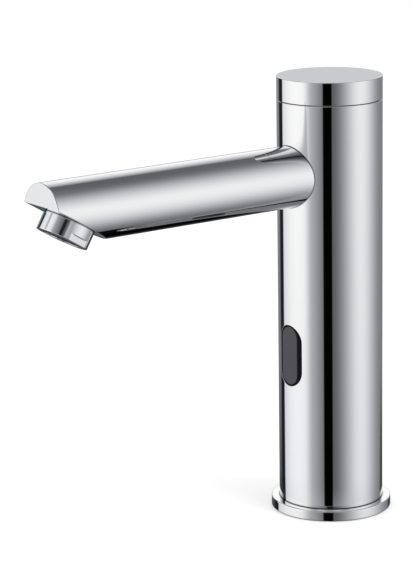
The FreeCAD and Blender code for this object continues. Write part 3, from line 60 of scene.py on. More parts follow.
MM = 0.001
WHITE = (1.0, 1.0, 1.0, 1.0)
FINISH = "_finish"  # what a finish's name has after its slot's
SIDES = 240  # columns of a surface that is turned about an axis
WINDOW_COLUMNS = 200  # columns round the lens and its ring
WELD = 0.0002 * MM  # borders of patches nearer than this become one
EDGE_HOLD = 0.12 * MM  # from a rounded edge to the points that keep the flat beyond it flat

# the camera's place, fitted to the outlines in the photograph; angles in degrees, lengths in metres
CAMERA_AROUND = 54.212  # from the spout's direction, to the right
CAMERA_UP = 13.522
CAMERA_ROLL = -0.908
CAMERA_AWAY = 1.12328
TARGET_HEIGHT = 0.1
TARGET_RIGHT = -0.056709
TARGET_ABOVE = 0.006835
FOCAL_PIXELS = 2445.5
PHOTO_HEIGHT = 564  # pixels
SENSOR = 36.0  # millimetres

BODY_LOW, BODY_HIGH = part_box("body_tube")
FLANGE_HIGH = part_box("base_flange")[1]
CAP_LOW, CAP_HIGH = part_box("top_cap")
SPOUT_LOW, SPOUT_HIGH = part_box("spout")
BEZEL_LOW, BEZEL_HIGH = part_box("lens_bezel")
LENS_LOW, LENS_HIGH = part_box("sensor_lens")
CAP_SEAL_LOW, CAP_SEAL_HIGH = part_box("cap_seal")
WINDOW_MIDDLE = (BEZEL_LOW.z + BEZEL_HIGH.z) / 2


# ---------------------------------------------------------------- sizes and colours


def length(name, description, default):
    """A length that a user may change, in metres."""
    return bpy.props.FloatProperty(
        name=name,
        description=description,
        default=float(default),
        min=0.0,
        unit="LENGTH",
        precision=5,
    )


def turn(name, description, degrees):
    """An angle that a user may change."""
    return bpy.props.FloatProperty(
        name=name, description=description, default=float(np.radians(degrees)), unit="ROTATION"
    )


def tint(name, description, red, green, blue):
    """A colour that a user may change."""
    return bpy.props.FloatVectorProperty(
        name=name,
        description=description,
        default=(red, green, blue),
        min=0.0,
        max=1.0,
        subtype="COLOR",
        size=3,
    )


class TapBodySizes(bpy.types.PropertyGroup):
    """Upright body, flange and cap."""

    body_radius: length("Body radius", "Outside of the upright tube", BODY_HIGH.x)
    body_bore: length("Body bore", "Inside of the upright tube, as a radius", 21 * MM)
    body_foot: length("Body foot", "Lower end of the upright tube", BODY_LOW.z)
    seam: length("Seam", "Height of the seam under the cap", BODY_HIGH.z)
    seam_bevel: length("Seam bevel", "Bevels that meet at the seam", 0.3 * MM)
    edge_round: length("Edge rounding", "Rounding of the chrome edges", 0.4 * MM)
    flange_radius: length("Flange radius", "Outside of the base flange", FLANGE_HIGH.x)
    flange_height: length("Flange height", "Thickness of the base flange", FLANGE_HIGH.z)
    flange_bore: length("Flange bore", "Inside of the base flange, as a radius", 19.6 * MM)
    groove_out: length("Seal groove, outside", "Groove under the flange, as a radius", 25.7 * MM)
    groove_in: length("Seal groove, inside", "Groove under the flange, as a radius", 20.9 * MM)
    groove_deep: length("Seal groove, depth", "Groove under the flange", 1.6 * MM)
    cap_top: length("Cap top", "Height of the cap's top", CAP_HIGH.z)
    cap_roof: length("Cap roof", "Thickness of the cap's top", 3 * MM)
    spigot_low: length("Spigot foot", "Lower end of the cap's threaded spigot", CAP_LOW.z)
    spigot_radius: length("Spigot radius", "Crest of the cap's thread", 20.95 * MM)
    spigot_bore: length("Spigot bore", "Inside of the cap's spigot, as a radius", 19.2 * MM)
    cap_pitch: length("Cap thread pitch", "Rise of the cap's thread in one turn", 1.5 * MM)
    cap_thread: length("Cap thread depth", "Depth of the cap's thread", 0.45 * MM)
    seal_height: length(
        "Cap seal height", "Middle of the cap's seal", (CAP_SEAL_LOW.z + CAP_SEAL_HIGH.z) / 2
    )
    seal_room: length("Cap seal room", "Half the height of the seal's groove", 0.6 * MM)
    seal_wire: length("Cap seal wire", "Half the thickness of the seal", 0.45 * MM)
    seal_groove: length("Cap seal groove", "Depth of the seal's groove", 1 * MM)
    seal_inset: length("Cap seal inset", "From the spigot's outside in to the seal's", 0.05 * MM)


class TapSpoutSizes(bpy.types.PropertyGroup):
    """Spout and the outlet at its end."""

    axis: length("Spout axis", "Height of the spout's axis", (SPOUT_LOW.z + SPOUT_HIGH.z) / 2)
    radius: length("Spout radius", "Outside of the spout", SPOUT_HIGH.x)
    reach: length("Spout reach", "Body axis to the square end", -SPOUT_LOW.y)
    joint: length("Joint", "Gap between the spout's coped end and the body", 0.3 * MM)
    lip: length("Lip", "Lower edge of the square end, above the spout's axis", 3.9 * MM)
    slant: turn("Slant", "Slanted face, from level", 30.8)
    outlet_set: length("Outlet set", "Outlet's centre, along the slanted face", 16 * MM)
    boss: length("Boss radius", "Hole for the threaded boss, as a radius", 9.05 * MM)
    boss_deep: length("Boss end", "Body axis to the end of the boss's hole", 36 * MM)
    socket: length("Socket radius", "Outlet's socket in the slanted face", 11.05 * MM)
    socket_deep: length("Socket depth", "Outlet's socket in the slanted face", 7.2 * MM)
    skirt: length("Skirt radius", "Outside of the outlet housing", 11.65 * MM)
    drop: length("Skirt height", "Outlet housing, below the slanted face", 8.2 * MM)
    neck: length("Neck length", "Threaded neck of the outlet housing", 6 * MM)
    neck_radius: length("Neck radius", "Crest of the neck's thread", 11 * MM)
    neck_bore: length("Neck bore", "Inside of the outlet housing, as a radius", 9.6 * MM)
    neck_pitch: length("Neck thread pitch", "Rise of the neck's thread in one turn", 1 * MM)
    neck_thread: length("Neck thread depth", "Depth of the neck's thread", 0.3 * MM)
    mouth: length("Mouth radius", "Open mouth of the outlet housing", 8.6 * MM)
    mouth_lip: length("Mouth lip", "Thickness of the housing at its mouth", 1 * MM)
    flat: length("Spanner flat", "Outlet's axis to a spanner flat", 10.7 * MM)
    flat_height: length("Spanner flat height", "Height of the flats", 3.1 * MM)
    flat_turn: turn("Spanner flat turn", "Turn of the flats about the outlet's axis", -5.0)


class TapWindowSizes(bpy.types.PropertyGroup):
    """Sensor window in the body."""

    middle: length("Window height", "Deck to the window's middle", WINDOW_MIDDLE)
    opening: length("Opening half width", "Window opening in the body", 7.6 * MM)
    opening_straight: length("Opening straight", "Half of the opening's straight sides", 6.7 * MM)
    bezel_gap: length("Bezel gap", "Between the bezel and the opening", 0.1 * MM)
    lens: length("Lens half width", "Lens in the bezel", 5.3 * MM)
    lens_straight: length("Lens straight", "Half of the lens's straight sides", 8.3 * MM)
    lens_front: length("Lens front", "Body axis to the lens's flat face", -LENS_LOW.y)
    lens_gap: length("Lens gap", "Between the lens and the bezel", 0.05 * MM)
    flange: length("Rear flange", "How far the rear flanges stand out", 1.5 * MM)
    bezel_seat: length("Bezel seat", "Body axis to the bezel's rear flange, front", 18.726 * MM)
    bezel_rear: length("Bezel rear", "Body axis to the bezel's rear", -BEZEL_HIGH.y)
    lens_rear: length("Lens rear", "Body axis to the lens's rear", -LENS_HIGH.y)


class TapSpringSizes(bpy.types.PropertyGroup):
    """Coil springs of the check valve and the plunger."""

    wire: length("Spring wire", "Thickness of the wire, as a radius", 0.24 * MM)
    turns: bpy.props.IntProperty(
        name="Spring turns", description="Turns of each spring", default=7, min=3, max=20
    )
    check_lift: length("Check lift", "How far the check valve's poppet lifts", 2.5 * MM)
    plunger_lift: length("Plunger lift", "How far the plunger lifts", 2 * MM)


class TapColours(bpy.types.PropertyGroup):
    """Colours of the finishes."""

    chrome: tint("Chrome", "Mirror chrome of the outside", 0.945, 0.945, 0.947)
    bezel: tint("Bezel", "Black moulded ring around the lens", 0.004, 0.004, 0.0045)
    lens: tint("Lens", "Dark lens that lets infrared through", 0.022, 0.022, 0.0255)
    grid: tint("Outlet plastic", "Grey moulding of the outlet's insert and grid", 0.07, 0.072, 0.076)
    brass: tint("Brass", "Machined brass inside", 0.72, 0.52, 0.24)
    steel: tint("Stainless steel", "Springs, screws, tubes and straps", 0.56, 0.55, 0.53)
    rubber: tint("Rubber", "Seals and washers", 0.018, 0.018, 0.019)
    black_plastic: tint("Black plastic", "Sensor case and tray", 0.022, 0.022, 0.024)
    white_plastic: tint("White plastic", "Check valve and bobbin", 0.78, 0.77, 0.73)
    copper: tint("Copper wire", "Coil winding", 0.62, 0.21, 0.07)
    magnet: tint("Magnet", "Sintered latch magnet", 0.075, 0.075, 0.08)
    board: tint("Board", "Solder mask of the circuit board", 0.012, 0.105, 0.035)
    diode_clear: tint("Clear diode", "Infrared emitter", 0.62, 0.66, 0.72)
    diode_dark: tint("Dark diode", "Infrared receiver", 0.012, 0.008, 0.02)
    cell: tint("Cell sleeve", "Plain sleeve of the battery cells", 0.03, 0.06, 0.16)
    lead_red: tint("Red lead", "Insulation of the red lead", 0.42, 0.012, 0.01)
    lead_black: tint("Black lead", "Insulation of the black lead", 0.014, 0.014, 0.015)


# ---------------------------------------------------------------- surfaces


def rounded(points, radii, steps=6):
    """A profile whose corners are rounded.

    Each corner is a quadratic curve from a point its radius before the corner to one its radius
    after it, with the corner as its control point. A holding point follows each curve, so that the
    flat beyond it stays flat. A radius of 0 leaves the corner sharp.
    """
    points = np.asarray(points, float)
    out = []
    step = np.linspace(0.0, 1.0, steps)[:, None]
    for index, radius in enumerate(radii):
        corner = points[index]
        if radius <= 0.0:
            out.append(corner[None, :])
            continue
        before = points[index - 1] - corner
        after = points[(index + 1) % len(points)] - corner
        before_length = np.linalg.norm(before)
        after_length = np.linalg.norm(after)
        start = corner + before / before_length * radius
        end = corner + after / after_length * radius
        curve = (1 - step) ** 2 * start + 2 * step * (1 - step) * corner + step**2 * end
        first = corner + before / before_length * min(radius + EDGE_HOLD, before_length / 2)
        last = corner + after / after_length * min(radius + EDGE_HOLD, after_length / 2)
        out.append(np.vstack([first, curve, last]))
    return np.vstack(out)


def ring(radius, angle, height):
    """Points about Z: (r cos a, r sin a, z), for a radius, angle and height or arrays of them."""
    radius, angle, height = np.broadcast_arrays(radius, angle, height)
    return np.stack([radius * np.cos(angle), radius * np.sin(angle), height], -1)


def all_round(columns):
    """Angles of a whole turn, in even steps and without its end."""
    return np.linspace(0.0, 2 * np.pi, columns, endpoint=False)


def lathed(profile, sides=SIDES):
    """A profile (radius, height) turned about Z: (r cos a, r sin a, z) at every angle a."""
    return ring(profile[:, :1], all_round(sides)[None, :], profile[:, 1:])


def between(first, last, shares=(0, 1)):
    """Rows of points on straight lines from the first row to the last, at the given shares."""
    share = np.asarray(shares, float)[:, None, None]
    return first[None] * (1 - share) + last[None] * share


def curved(start, corner, end, steps=6):
    """Rows of points on quadratic curves from start to end, each with its corner as control."""
    step = np.linspace(0.0, 1.0, steps)[:, None, None]
    return (1 - step) ** 2 * start[None] + 2 * step * (1 - step) * corner[None] + step**2 * end[None]


def quads(rows, columns, start, closed):
    """Four corners of each cell of a grid; a closed grid joins its last column to its first."""
    index = start + np.arange(rows * columns).reshape(rows, columns)
    if closed:
        index = np.concatenate([index, index[:, :1]], axis=1)
    corners = [index[:-1, :-1], index[:-1, 1:], index[1:, 1:], index[1:, :-1]]
    return np.stack(corners, -1).reshape(-1, 4)


def surface(name, rings, strips=(), sharp=30.0):
    """One closed surface from grids of points, welded where their borders meet.

    The rings go all the way round, and the strips don't. Faces point outwards, and edges that turn
    by more than the sharp angle (degrees) stay sharp.
    """
    points = []
    faces = []
    count = 0
    for grids, closed in ((rings, True), (strips, False)):
        for grid in grids:
            rows, columns = grid.shape[:2]
            points.append(grid.reshape(-1, 3))
            faces.append(quads(rows, columns, count, closed))
            count += rows * columns
    mesh = bpy.data.meshes.new(name)
    mesh.from_pydata(np.vstack(points).tolist(), [], np.vstack(faces).tolist())
    shell = bmesh.new()
    shell.from_mesh(mesh)
    bmesh.ops.remove_doubles(shell, verts=shell.verts, dist=WELD)
    bmesh.ops.recalc_face_normals(shell, faces=shell.faces)
    open_edges = sum(1 for edge in shell.edges if not edge.is_manifold)
    shell.to_mesh(mesh)
    shell.free()
    if open_edges:
        raise RuntimeError(f"{name} has {open_edges} open edges")
    mesh.polygons.foreach_set("use_smooth", np.ones(len(mesh.polygons), bool))
    mesh.set_sharp_from_angle(angle=np.radians(sharp))
    mesh.update()
    piece = bpy.data.objects.new(name, mesh)
    bpy.context.scene.collection.objects.link(piece)
    return piece


def finish_of(slot):
    """The finish of a slot, as the finishes' operator made it."""
    found = bpy.data.materials.get(slot + FINISH)
    if found is None:
        raise RuntimeError(f"no finish has been made for the slot {slot}")
    return found


def dressed(piece, body, slot, node):
    """The piece takes its slot's finish, rides on its body and stands for its frame node."""
    piece.data.materials.append(finish_of(slot))
    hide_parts(node)
    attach(piece, body)


def obround(direction, half_width, straight):
    """The point of an obround outline in each direction from its middle.

    A ray meets a straight side at |x| = half width where it rises less than the straight part,
    and otherwise the round end, whose distance is the root of the circle's equation.
    """
    cosine = np.cos(direction)
    sine = np.sin(direction)
    steep = np.abs(sine) * half_width > straight * np.abs(cosine)
    side = half_width / np.maximum(np.abs(cosine), 1e-9)
    end = np.abs(sine) * straight + np.sqrt(
        np.maximum(half_width**2 - (straight * cosine) ** 2, 0.0)
    )
    distance = np.where(steep, end, side)
    return np.stack([distance * cosine, distance * sine], -1)


def on_wall(flat, radius, middle):
    """Flat window points (across, up) carried back to the front of an upright cylinder."""
    across = flat[..., 0]
    return np.stack([across, -np.sqrt(radius**2 - across**2), flat[..., 1] + middle], -1)


def at_depth(flat, depth, middle):
    """Flat window points (across, up) in the upright plane at a depth before the body's axis."""
    across = flat[..., 0]
    return np.stack([across, np.full_like(across, -depth), flat[..., 1] + middle], -1)


def threaded(radius, depth, pitch, low, high, rows, run_out):
    """A threaded length of a cylinder about Z.

    The radius falls below the crest by the depth times a clipped triangle wave of
    height / pitch - angle / a full turn, which fades out over the run-out at both ends.
    """
    steepness = 3.5
    crest_share = 1.25
    angle = all_round(SIDES)[None, :]
    height = np.linspace(low, high, rows)[:, None]
    phase = (height / pitch - angle / (2 * np.pi)) % 1.0
    wave = np.clip(crest_share - steepness * np.abs(phase - 0.5), 0.0, 1.0)
    faded = np.clip(np.minimum(height - low, high - height) / run_out, 0.0, 1.0)
    reach = radius - depth * wave * faded
    return ring(reach, angle, height)


def coiled(radius, wire, low, high, turns, steps=24, sides=10):
    """A round wire on a helix about Z.

    Its middle is (R cos t, R sin t, height), with the height rising evenly with t from the wire's
    radius above low to as much below high. Around it stands an upright circle,
    w (cos u outward + sin u upward), and both ends close to a point.
    """
    along = np.linspace(0.0, 2 * np.pi * turns, steps * turns + 1)[:, None]
    around = all_round(sides)[None, :]
    height = low + wire + (high - low - 2 * wire) * along / along[-1]
    wall = ring(radius + wire * np.cos(around), along, height + wire * np.sin(around))
    ends = [np.broadcast_to(wall[row].mean(axis=0), wall[row].shape)[None] for row in (0, -1)]
    return np.concatenate([ends[0], wall, ends[1]])


# ---------------------------------------------------------------- finishes


class Shader:
    """The nodes of a material or a world."""

    def __init__(self, tree):
        self.nodes = tree.nodes
        self.links = tree.links

    def give(self, node, inputs):
        """Each of the node's inputs that is given a socket is linked to it, and any other is set."""
        for name, value in inputs.items():
            if isinstance(value, bpy.types.NodeSocket):
                self.links.new(value, node.inputs[name])
            else:
                node.inputs[name].default_value = value

    def add(self, kind, inputs, **settings):
        """A new node with its settings and inputs."""
        node = self.nodes.new("ShaderNode" + kind)
        for name, value in settings.items():
            setattr(node, name, value)
        self.give(node, inputs)
        return node

    def either(self, share, first, second):
        """The first surface where the share is 0, the second where it is 1."""
        return self.add("MixShader", {"Fac": share, 1: first, 2: second}).outputs[0]


class Finish(Shader):
    """A material on object coordinates, named for the record's slot that it belongs to."""

    def __init__(self, slot):
        self.material = bpy.data.materials.new(slot + FINISH)
        self.material.use_nodes = True
        super().__init__(self.material.node_tree)
        self.principled = self.nodes["Principled BSDF"]
        self.place = self.add("TexCoord", {}).outputs["Object"]

    def noise(self, place, scale, detail=3.0):
        """Noise at a place; the scale is in cells per metre."""
        inputs = {"Vector": place, "Scale": scale, "Detail": detail, "Roughness": 0.5}
        return self.add("TexNoise", inputs).outputs["Fac"]

    def spread(self, value, low, high, from_low=0.3, from_high=0.7):
        """A value carried from one range to another; noise mostly lies between 0.3 and 0.7."""
        inputs = {
            "Value": value, "From Min": from_low, "From Max": from_high, "To Min": low, "To Max": high
        }
        return self.add("MapRange", inputs).outputs["Result"]

    def blended(self, share, first, second):
        """The first colour where the share is 0, the second where it is 1."""
        inputs = {"Factor": share, "A": first, "B": second}
        return self.add("Mix", inputs, data_type="RGBA").outputs["Result"]

    def mottled(self, value, colour, change):
        """The colour, darker and lighter by a share as the value goes from low to high."""
        darker = (*[part * (1 - change) for part in colour], 1.0)
        lighter = (*[min(part * (1 + change), 1.0) for part in colour], 1.0)
        self.give(self.principled, {"Base Color": self.blended(value, darker, lighter)})

    def raised(self, value, strength, distance):
        """The value as a bump of the surface."""
        bump = self.add("Bump", {"Height": value, "Strength": strength, "Distance": distance})
        self.give(self.principled, {"Normal": bump.outputs["Normal"]})

    def painted_crevice_shade(self, reach, dark=0.5, clear=0.96):
        """The base colour darkened in crevices as painted shade, where neighbours within reach hide the
        surroundings.

        It is dark where the open share of the surroundings is dark or less, and itself from clear on.
        """
        # painted shade: the dark colour laid into crevices where the surroundings are hidden
        painted_shade = (0.01, 0.01, 0.012, 1.0)
        plain = self.principled.inputs["Base Color"].links[0].from_socket
        hidden = self.add("AmbientOcclusion", {"Distance": reach}, samples=12)
        share = self.spread(hidden.outputs["AO"], 0.0, 1.0, dark, clear)
        self.give(self.principled, {"Base Color": self.blended(share, painted_shade, plain)})


def metal(slot, colour, roughness, grain, bump, stretch=None, tone=0.03, reach=0.0):
    """A metal: fine grain in its roughness, its relief and, faintly, its colour.

    The roughness is its lowest and highest value, and the grain is in cells per metre. A stretch
    draws the grain out along an axis, and a reach paints shade into the crevices by darkening the base
    colour.
    """
    relief = 0.02 * MM
    broader = 12  # how much coarser the change of colour is than the grain
    finish = Finish(slot)
    place = finish.place
    if stretch is not None:
        place = finish.add("Mapping", {"Vector": place, "Scale": stretch}).outputs["Vector"]
    fine = finish.noise(place, grain)
    finish.give(finish.principled, {"Metallic": 1.0, "Roughness": finish.spread(fine, *roughness)})
    finish.mottled(finish.noise(place, grain / broader), colour, tone)
    finish.raised(fine, bump, relief)
    # a reach paints shade into the crevices, darkening the base colour there
    if reach > 0.0:
        finish.painted_crevice_shade(reach)


def moulded(slot, colour, roughness, grain, bump, level=0.5, tone=0.08, clear=0.0):
    """A moulded plastic or rubber: a fine spark-eroded grain over a plain colour.

    The level is that of its shine, the tone the share by which its colour changes, and clear how
    much light passes through.
    """
    relief = 0.03 * MM
    broader = 20  # how much coarser the change of colour is than the grain
    finish = Finish(slot)
    fine = finish.noise(finish.place, grain, detail=2.0)
    finish.give(finish.principled, {"Specular IOR Level": level, "Transmission Weight": clear})
    finish.give(finish.principled, {"Roughness": finish.spread(fine, *roughness)})
    finish.mottled(finish.noise(finish.place, grain / broader), colour, tone)
    finish.raised(fine, bump, relief)


def wound(slot, colour):
    """Enamelled wire: turns as bands along the winding's height, with the wire's own sheen. Its colour
    is painted darker in the valleys between the turns and lighter on their crests, as shade and
    highlight.
    """
    valley_roughness = 0.45
    crest_roughness = 0.22
    finish = Finish(slot)
    bands = {"Vector": finish.place, "Scale": 1250.0, "Distortion": 0.4}
    turns = finish.add("TexWave", bands, wave_type="BANDS", bands_direction="Z").outputs["Fac"]
    rough = finish.spread(turns, valley_roughness, crest_roughness, 0.0, 1.0)
    finish.give(finish.principled, {"Metallic": 1.0, "Coat Weight": 0.6, "Roughness": rough})
    # painted shade in the valleys between the turns and painted highlight on their crests
    finish.mottled(turns, colour, 0.35)
    finish.raised(turns, 0.8, 0.2 * MM)


def printed_board(slot, colour):
    """Solder mask over tracks: straight-edged cells stand for tracks, with lighter lines between."""
    finish = Finish(slot)
    turned = {"Vector": finish.place, "Rotation": (np.pi / 2, 0.0, 0.0)}
    tracks = finish.add(
        "TexBrick",
        {
            "Vector": finish.add("Mapping", turned).outputs["Vector"],
            "Scale": 260.0,
            "Mortar Size": 0.09,
            "Color1": (*colour, 1.0),
            "Color2": (*[part * 1.25 for part in colour], 1.0),
            "Mortar": (*[part * 2.2 for part in colour], 1.0),
        },
    )
    rough = finish.spread(finish.noise(finish.place, 4000.0), 0.25, 0.4)
    finish.give(finish.principled, {"Coat Weight": 0.4, "Roughness": rough})
    finish.give(finish.principled, {"Base Color": tracks.outputs["Color"]})
    finish.raised(tracks.outputs["Fac"], 0.4, 0.03 * MM)


def make_finishes():
    """Every finish of the tap, each named for the record's slot that it belongs to."""
    hue = bpy.context.scene.tap_colours
    # the chrome's reach of 0.8 mm paints shade into its seams, joints and crevices
    metal("mirror_chrome", hue.chrome, (0.018, 0.04), grain=900.0, bump=0.02, tone=0.006, reach=0.8 * MM)
    metal("machined_brass", hue.brass, (0.16, 0.32), grain=1400.0, bump=0.3, stretch=(0.2, 0.2, 6.0))
    metal("stainless", hue.steel, (0.2, 0.34), grain=1800.0, bump=0.2, stretch=(1.0, 1.0, 0.15))
    metal("magnet", hue.magnet, (0.45, 0.6), grain=2600.0, bump=0.35, tone=0.15)
    moulded("bezel_black", hue.bezel, (0.35, 0.5), grain=5000.0, bump=0.25, level=0.06)
    moulded("lens_grey", hue.lens, (0.05, 0.09), grain=1500.0, bump=0.02, level=0.6)
    moulded("grid_plastic", hue.grid, (0.3, 0.45), grain=3500.0, bump=0.2)
    moulded("black_rubber", hue.rubber, (0.55, 0.75), grain=3000.0, bump=0.3, level=0.35)
    moulded("black_plastic", hue.black_plastic, (0.35, 0.5), grain=3500.0, bump=0.25)
    moulded("white_plastic", hue.white_plastic, (0.3, 0.42), grain=3000.0, bump=0.12, tone=0.03)
    moulded("diode_clear", hue.diode_clear, (0.03, 0.06), grain=900.0, bump=0.02, clear=0.9)
    moulded("diode_dark", hue.diode_dark, (0.05, 0.09), grain=900.0, bump=0.02, level=0.6)
    moulded("cell_sleeve", hue.cell, (0.16, 0.24), grain=700.0, bump=0.06)
    moulded("lead_red", hue.lead_red, (0.35, 0.45), grain=2200.0, bump=0.1)
    moulded("lead_black", hue.lead_black, (0.35, 0.45), grain=2200.0, bump=0.1)
    wound("copper_wire", hue.copper)
    printed_board("board_green", hue.board)


# ---------------------------------------------------------------- pieces of the body


def holed_wall(radius, low, high, opening, straight, middle):
    """An upright cylinder with an obround opening at its front.

    Round the back it is a plain grid (angle, height). In front, a panel's border is joined to the
    opening's outline along straight lines in (across, up), carried back to the cylinder, with rows
    that get closer towards the outline. Returns the grids that go all the way round, the back's grid,
    the outline's directions from the opening's middle, and the angles of the whole rings.
    """
    half_columns = 18  # of the panel, to each side of the front
    half_panel = 20 * MM
    panel_rows = 41
    rows_below = 5
    rows_above = 6
    rows_inward = 14
    closeness = 1.6
    step = 2 * np.pi / SIDES
    front = -np.pi / 2
    half = half_columns * step
    panel_low = middle - half_panel
    panel_high = middle + half_panel
    panel = np.linspace(panel_low, panel_high, panel_rows)
    full = front + np.arange(SIDES) * step + half
    back = front + half + np.arange(SIDES - 2 * half_columns + 1) * step
    below = np.linspace(low, panel_low, rows_below)
    above = np.linspace(panel_high, high, rows_above)
    across = front - half + np.arange(2 * half_columns + 1) * step
    upwards = panel[1:-1]
    border_angle = np.concatenate(
        [across, np.full_like(upwards, across[-1]), across[::-1], np.full_like(upwards, across[0])]
    )
    border_height = np.concatenate(
        [np.full_like(across, panel_low), upwards, np.full_like(across, panel_high), upwards[::-1]]
    )
    border = np.stack([radius * np.cos(border_angle), border_height - middle], -1)
    direction = np.arctan2(border[:, 1], border[:, 0])
    outline = obround(direction, opening, straight)
    shares = 1 - (1 - np.linspace(0.0, 1.0, rows_inward)) ** closeness
    rings = [
        ring(radius, full[None, :], below[:, None]),
        ring(radius, full[None, :], above[:, None]),
        on_wall(between(border, outline, shares), radius, middle),
    ]
    return rings, ring(radius, back[None, :], panel[:, None]), direction, full


class TAP_OT_body_tube(bpy.types.Operator):
    """Upright chrome tube with the window opening, a bevelled mouth and a finely rounded foot."""

    bl_idname = "tap.body_tube"
    bl_label = "Body tube"

    def execute(self, context):
        size = context.scene.tap_body
        window = context.scene.tap_window
        fine = 0.15 * MM
        outer, outer_back, direction, angle = holed_wall(
            size.body_radius,
            size.body_foot + fine,
            size.seam - size.seam_bevel,
            window.opening + fine,
            window.opening_straight,
            window.middle,
        )
        inner, inner_back, inner_direction, _ = holed_wall(
            size.body_bore,
            size.body_foot,
            size.seam,
            window.opening,
            window.opening_straight,
            window.middle,
        )

        foot = curved(
            ring(size.body_radius, angle, size.body_foot + fine),
            ring(size.body_radius, angle, size.body_foot),
            ring(size.body_radius - fine, angle, size.body_foot),
        )
        foot_face = between(foot[-1], ring(size.body_bore, angle, size.body_foot))
        mouth = between(
            ring(size.body_radius, angle, size.seam - size.seam_bevel),
            ring(size.body_radius - size.seam_bevel, angle, size.seam),
        )
        mouth_face = between(mouth[-1], ring(size.body_bore, angle, size.seam))
        wide = on_wall(
            obround(direction, window.opening + fine, window.opening_straight),
            size.body_radius,
            window.middle,
        )
        flat = obround(direction, window.opening, window.opening_straight)
        corner = on_wall(flat, size.body_radius, window.middle)
        sunk = corner + np.array([0.0, fine, 0.0])
        inside = on_wall(
            obround(inner_direction, window.opening, window.opening_straight),
            size.body_bore,
            window.middle,
        )
        edge = curved(wide, corner, sunk)
        side = between(sunk, inside, (0, 0.3, 1))
        rings = [*outer, *inner, foot, foot_face, mouth, mouth_face, edge, side]
        piece = surface("body_tube_chrome", rings, strips=[outer_back, inner_back])
        dressed(piece, "body", "mirror_chrome", "body_tube")
        return {"FINISHED"}


class TAP_OT_base_flange(bpy.types.Operator):
    """Low round flange, turned from its profile with rounded edges and the seal's groove below."""

    bl_idname = "tap.base_flange"
    bl_label = "Base flange"

    def execute(self, context):
        size = context.scene.tap_body
        lower_edge = 0.25 * MM
        upper_edge = 1.4 * size.edge_round
        profile = rounded(
            [
                (size.flange_bore, 0.0),
                (size.groove_in, 0.0),
                (size.groove_in, size.groove_deep),
                (size.groove_out, size.groove_deep),
                (size.groove_out, 0.0),
                (size.flange_radius, 0.0),
                (size.flange_radius, size.flange_height),
                (size.flange_bore, size.flange_height),
            ],
            [0, 0, 0, 0, 0, lower_edge, upper_edge, 0],
        )
        piece = surface("base_flange_chrome", [lathed(np.vstack([profile, profile[:1]]))])
        dressed(piece, "body", "mirror_chrome", "base_flange")
        return {"FINISHED"}


class TAP_OT_top_cap(bpy.types.Operator):
    """Flat cap with its threaded spigot; the rim is rounded, the seam's edge bevelled."""

    bl_idname = "tap.top_cap"
    bl_label = "Top cap"

    def execute(self, context):
        size = context.scene.tap_body
        run_out = 0.5 * MM
        groove = size.spigot_radius - size.seal_groove
        seal_low = size.seal_height - size.seal_room
        seal_high = size.seal_height + size.seal_room
        inside = np.array(
            [
                (0.0, size.cap_top - size.cap_roof),
                (size.spigot_bore, size.cap_top - size.cap_roof),
                (size.spigot_bore, size.spigot_low),
                (size.spigot_radius, size.spigot_low),
            ]
        )
        groove_profile = np.array(
            [
                (size.spigot_radius, seal_low),
                (groove, seal_low),
                (groove, seal_high),
                (size.spigot_radius, seal_high),
            ]
        )
        outside = rounded(
            [
                (size.spigot_radius, size.seam),
                (size.body_radius - size.seam_bevel, size.seam),
                (size.body_radius, size.seam + size.seam_bevel),
                (size.body_radius, size.cap_top),
                (0.0, size.cap_top),
            ],
            [0, 0, 0, size.edge_round, 0],
        )
        thread = (size.spigot_radius, size.cap_thread, size.cap_pitch)
        lower = threaded(*thread, size.spigot_low, seal_low, rows=14, run_out=run_out)
        upper = threaded(*thread, seal_high, size.seam, rows=26, run_out=run_out)
        rings = (lathed(inside), lower, lathed(groove_profile), upper, lathed(outside))
        piece = surface("top_cap_chrome", rings)
        dressed(piece, "cap", "mirror_chrome", "top_cap")
        return {"FINISHED"}


class TAP_OT_cap_seal(bpy.types.Operator):
    """Round rubber ring in the cap's groove."""

    bl_idname = "tap.cap_seal"
    bl_label = "Cap seal"

    def execute(self, context):
        size = context.scene.tap_body
        around = np.append(all_round(24), 0.0)
        middle = size.spigot_radius - size.seal_wire - size.seal_inset
        profile = np.stack(
            [
                middle + size.seal_wire * np.cos(around),
                size.seal_height + size.seal_wire * np.sin(around),
            ],
            -1,
        )
        piece = surface("cap_seal_ring", [lathed(profile, sides=180)], sharp=80.0)
        dressed(piece, "cap_ring", "black_rubber", "cap_seal")
        return {"FINISHED"}


# ---------------------------------------------------------------- spout and outlet


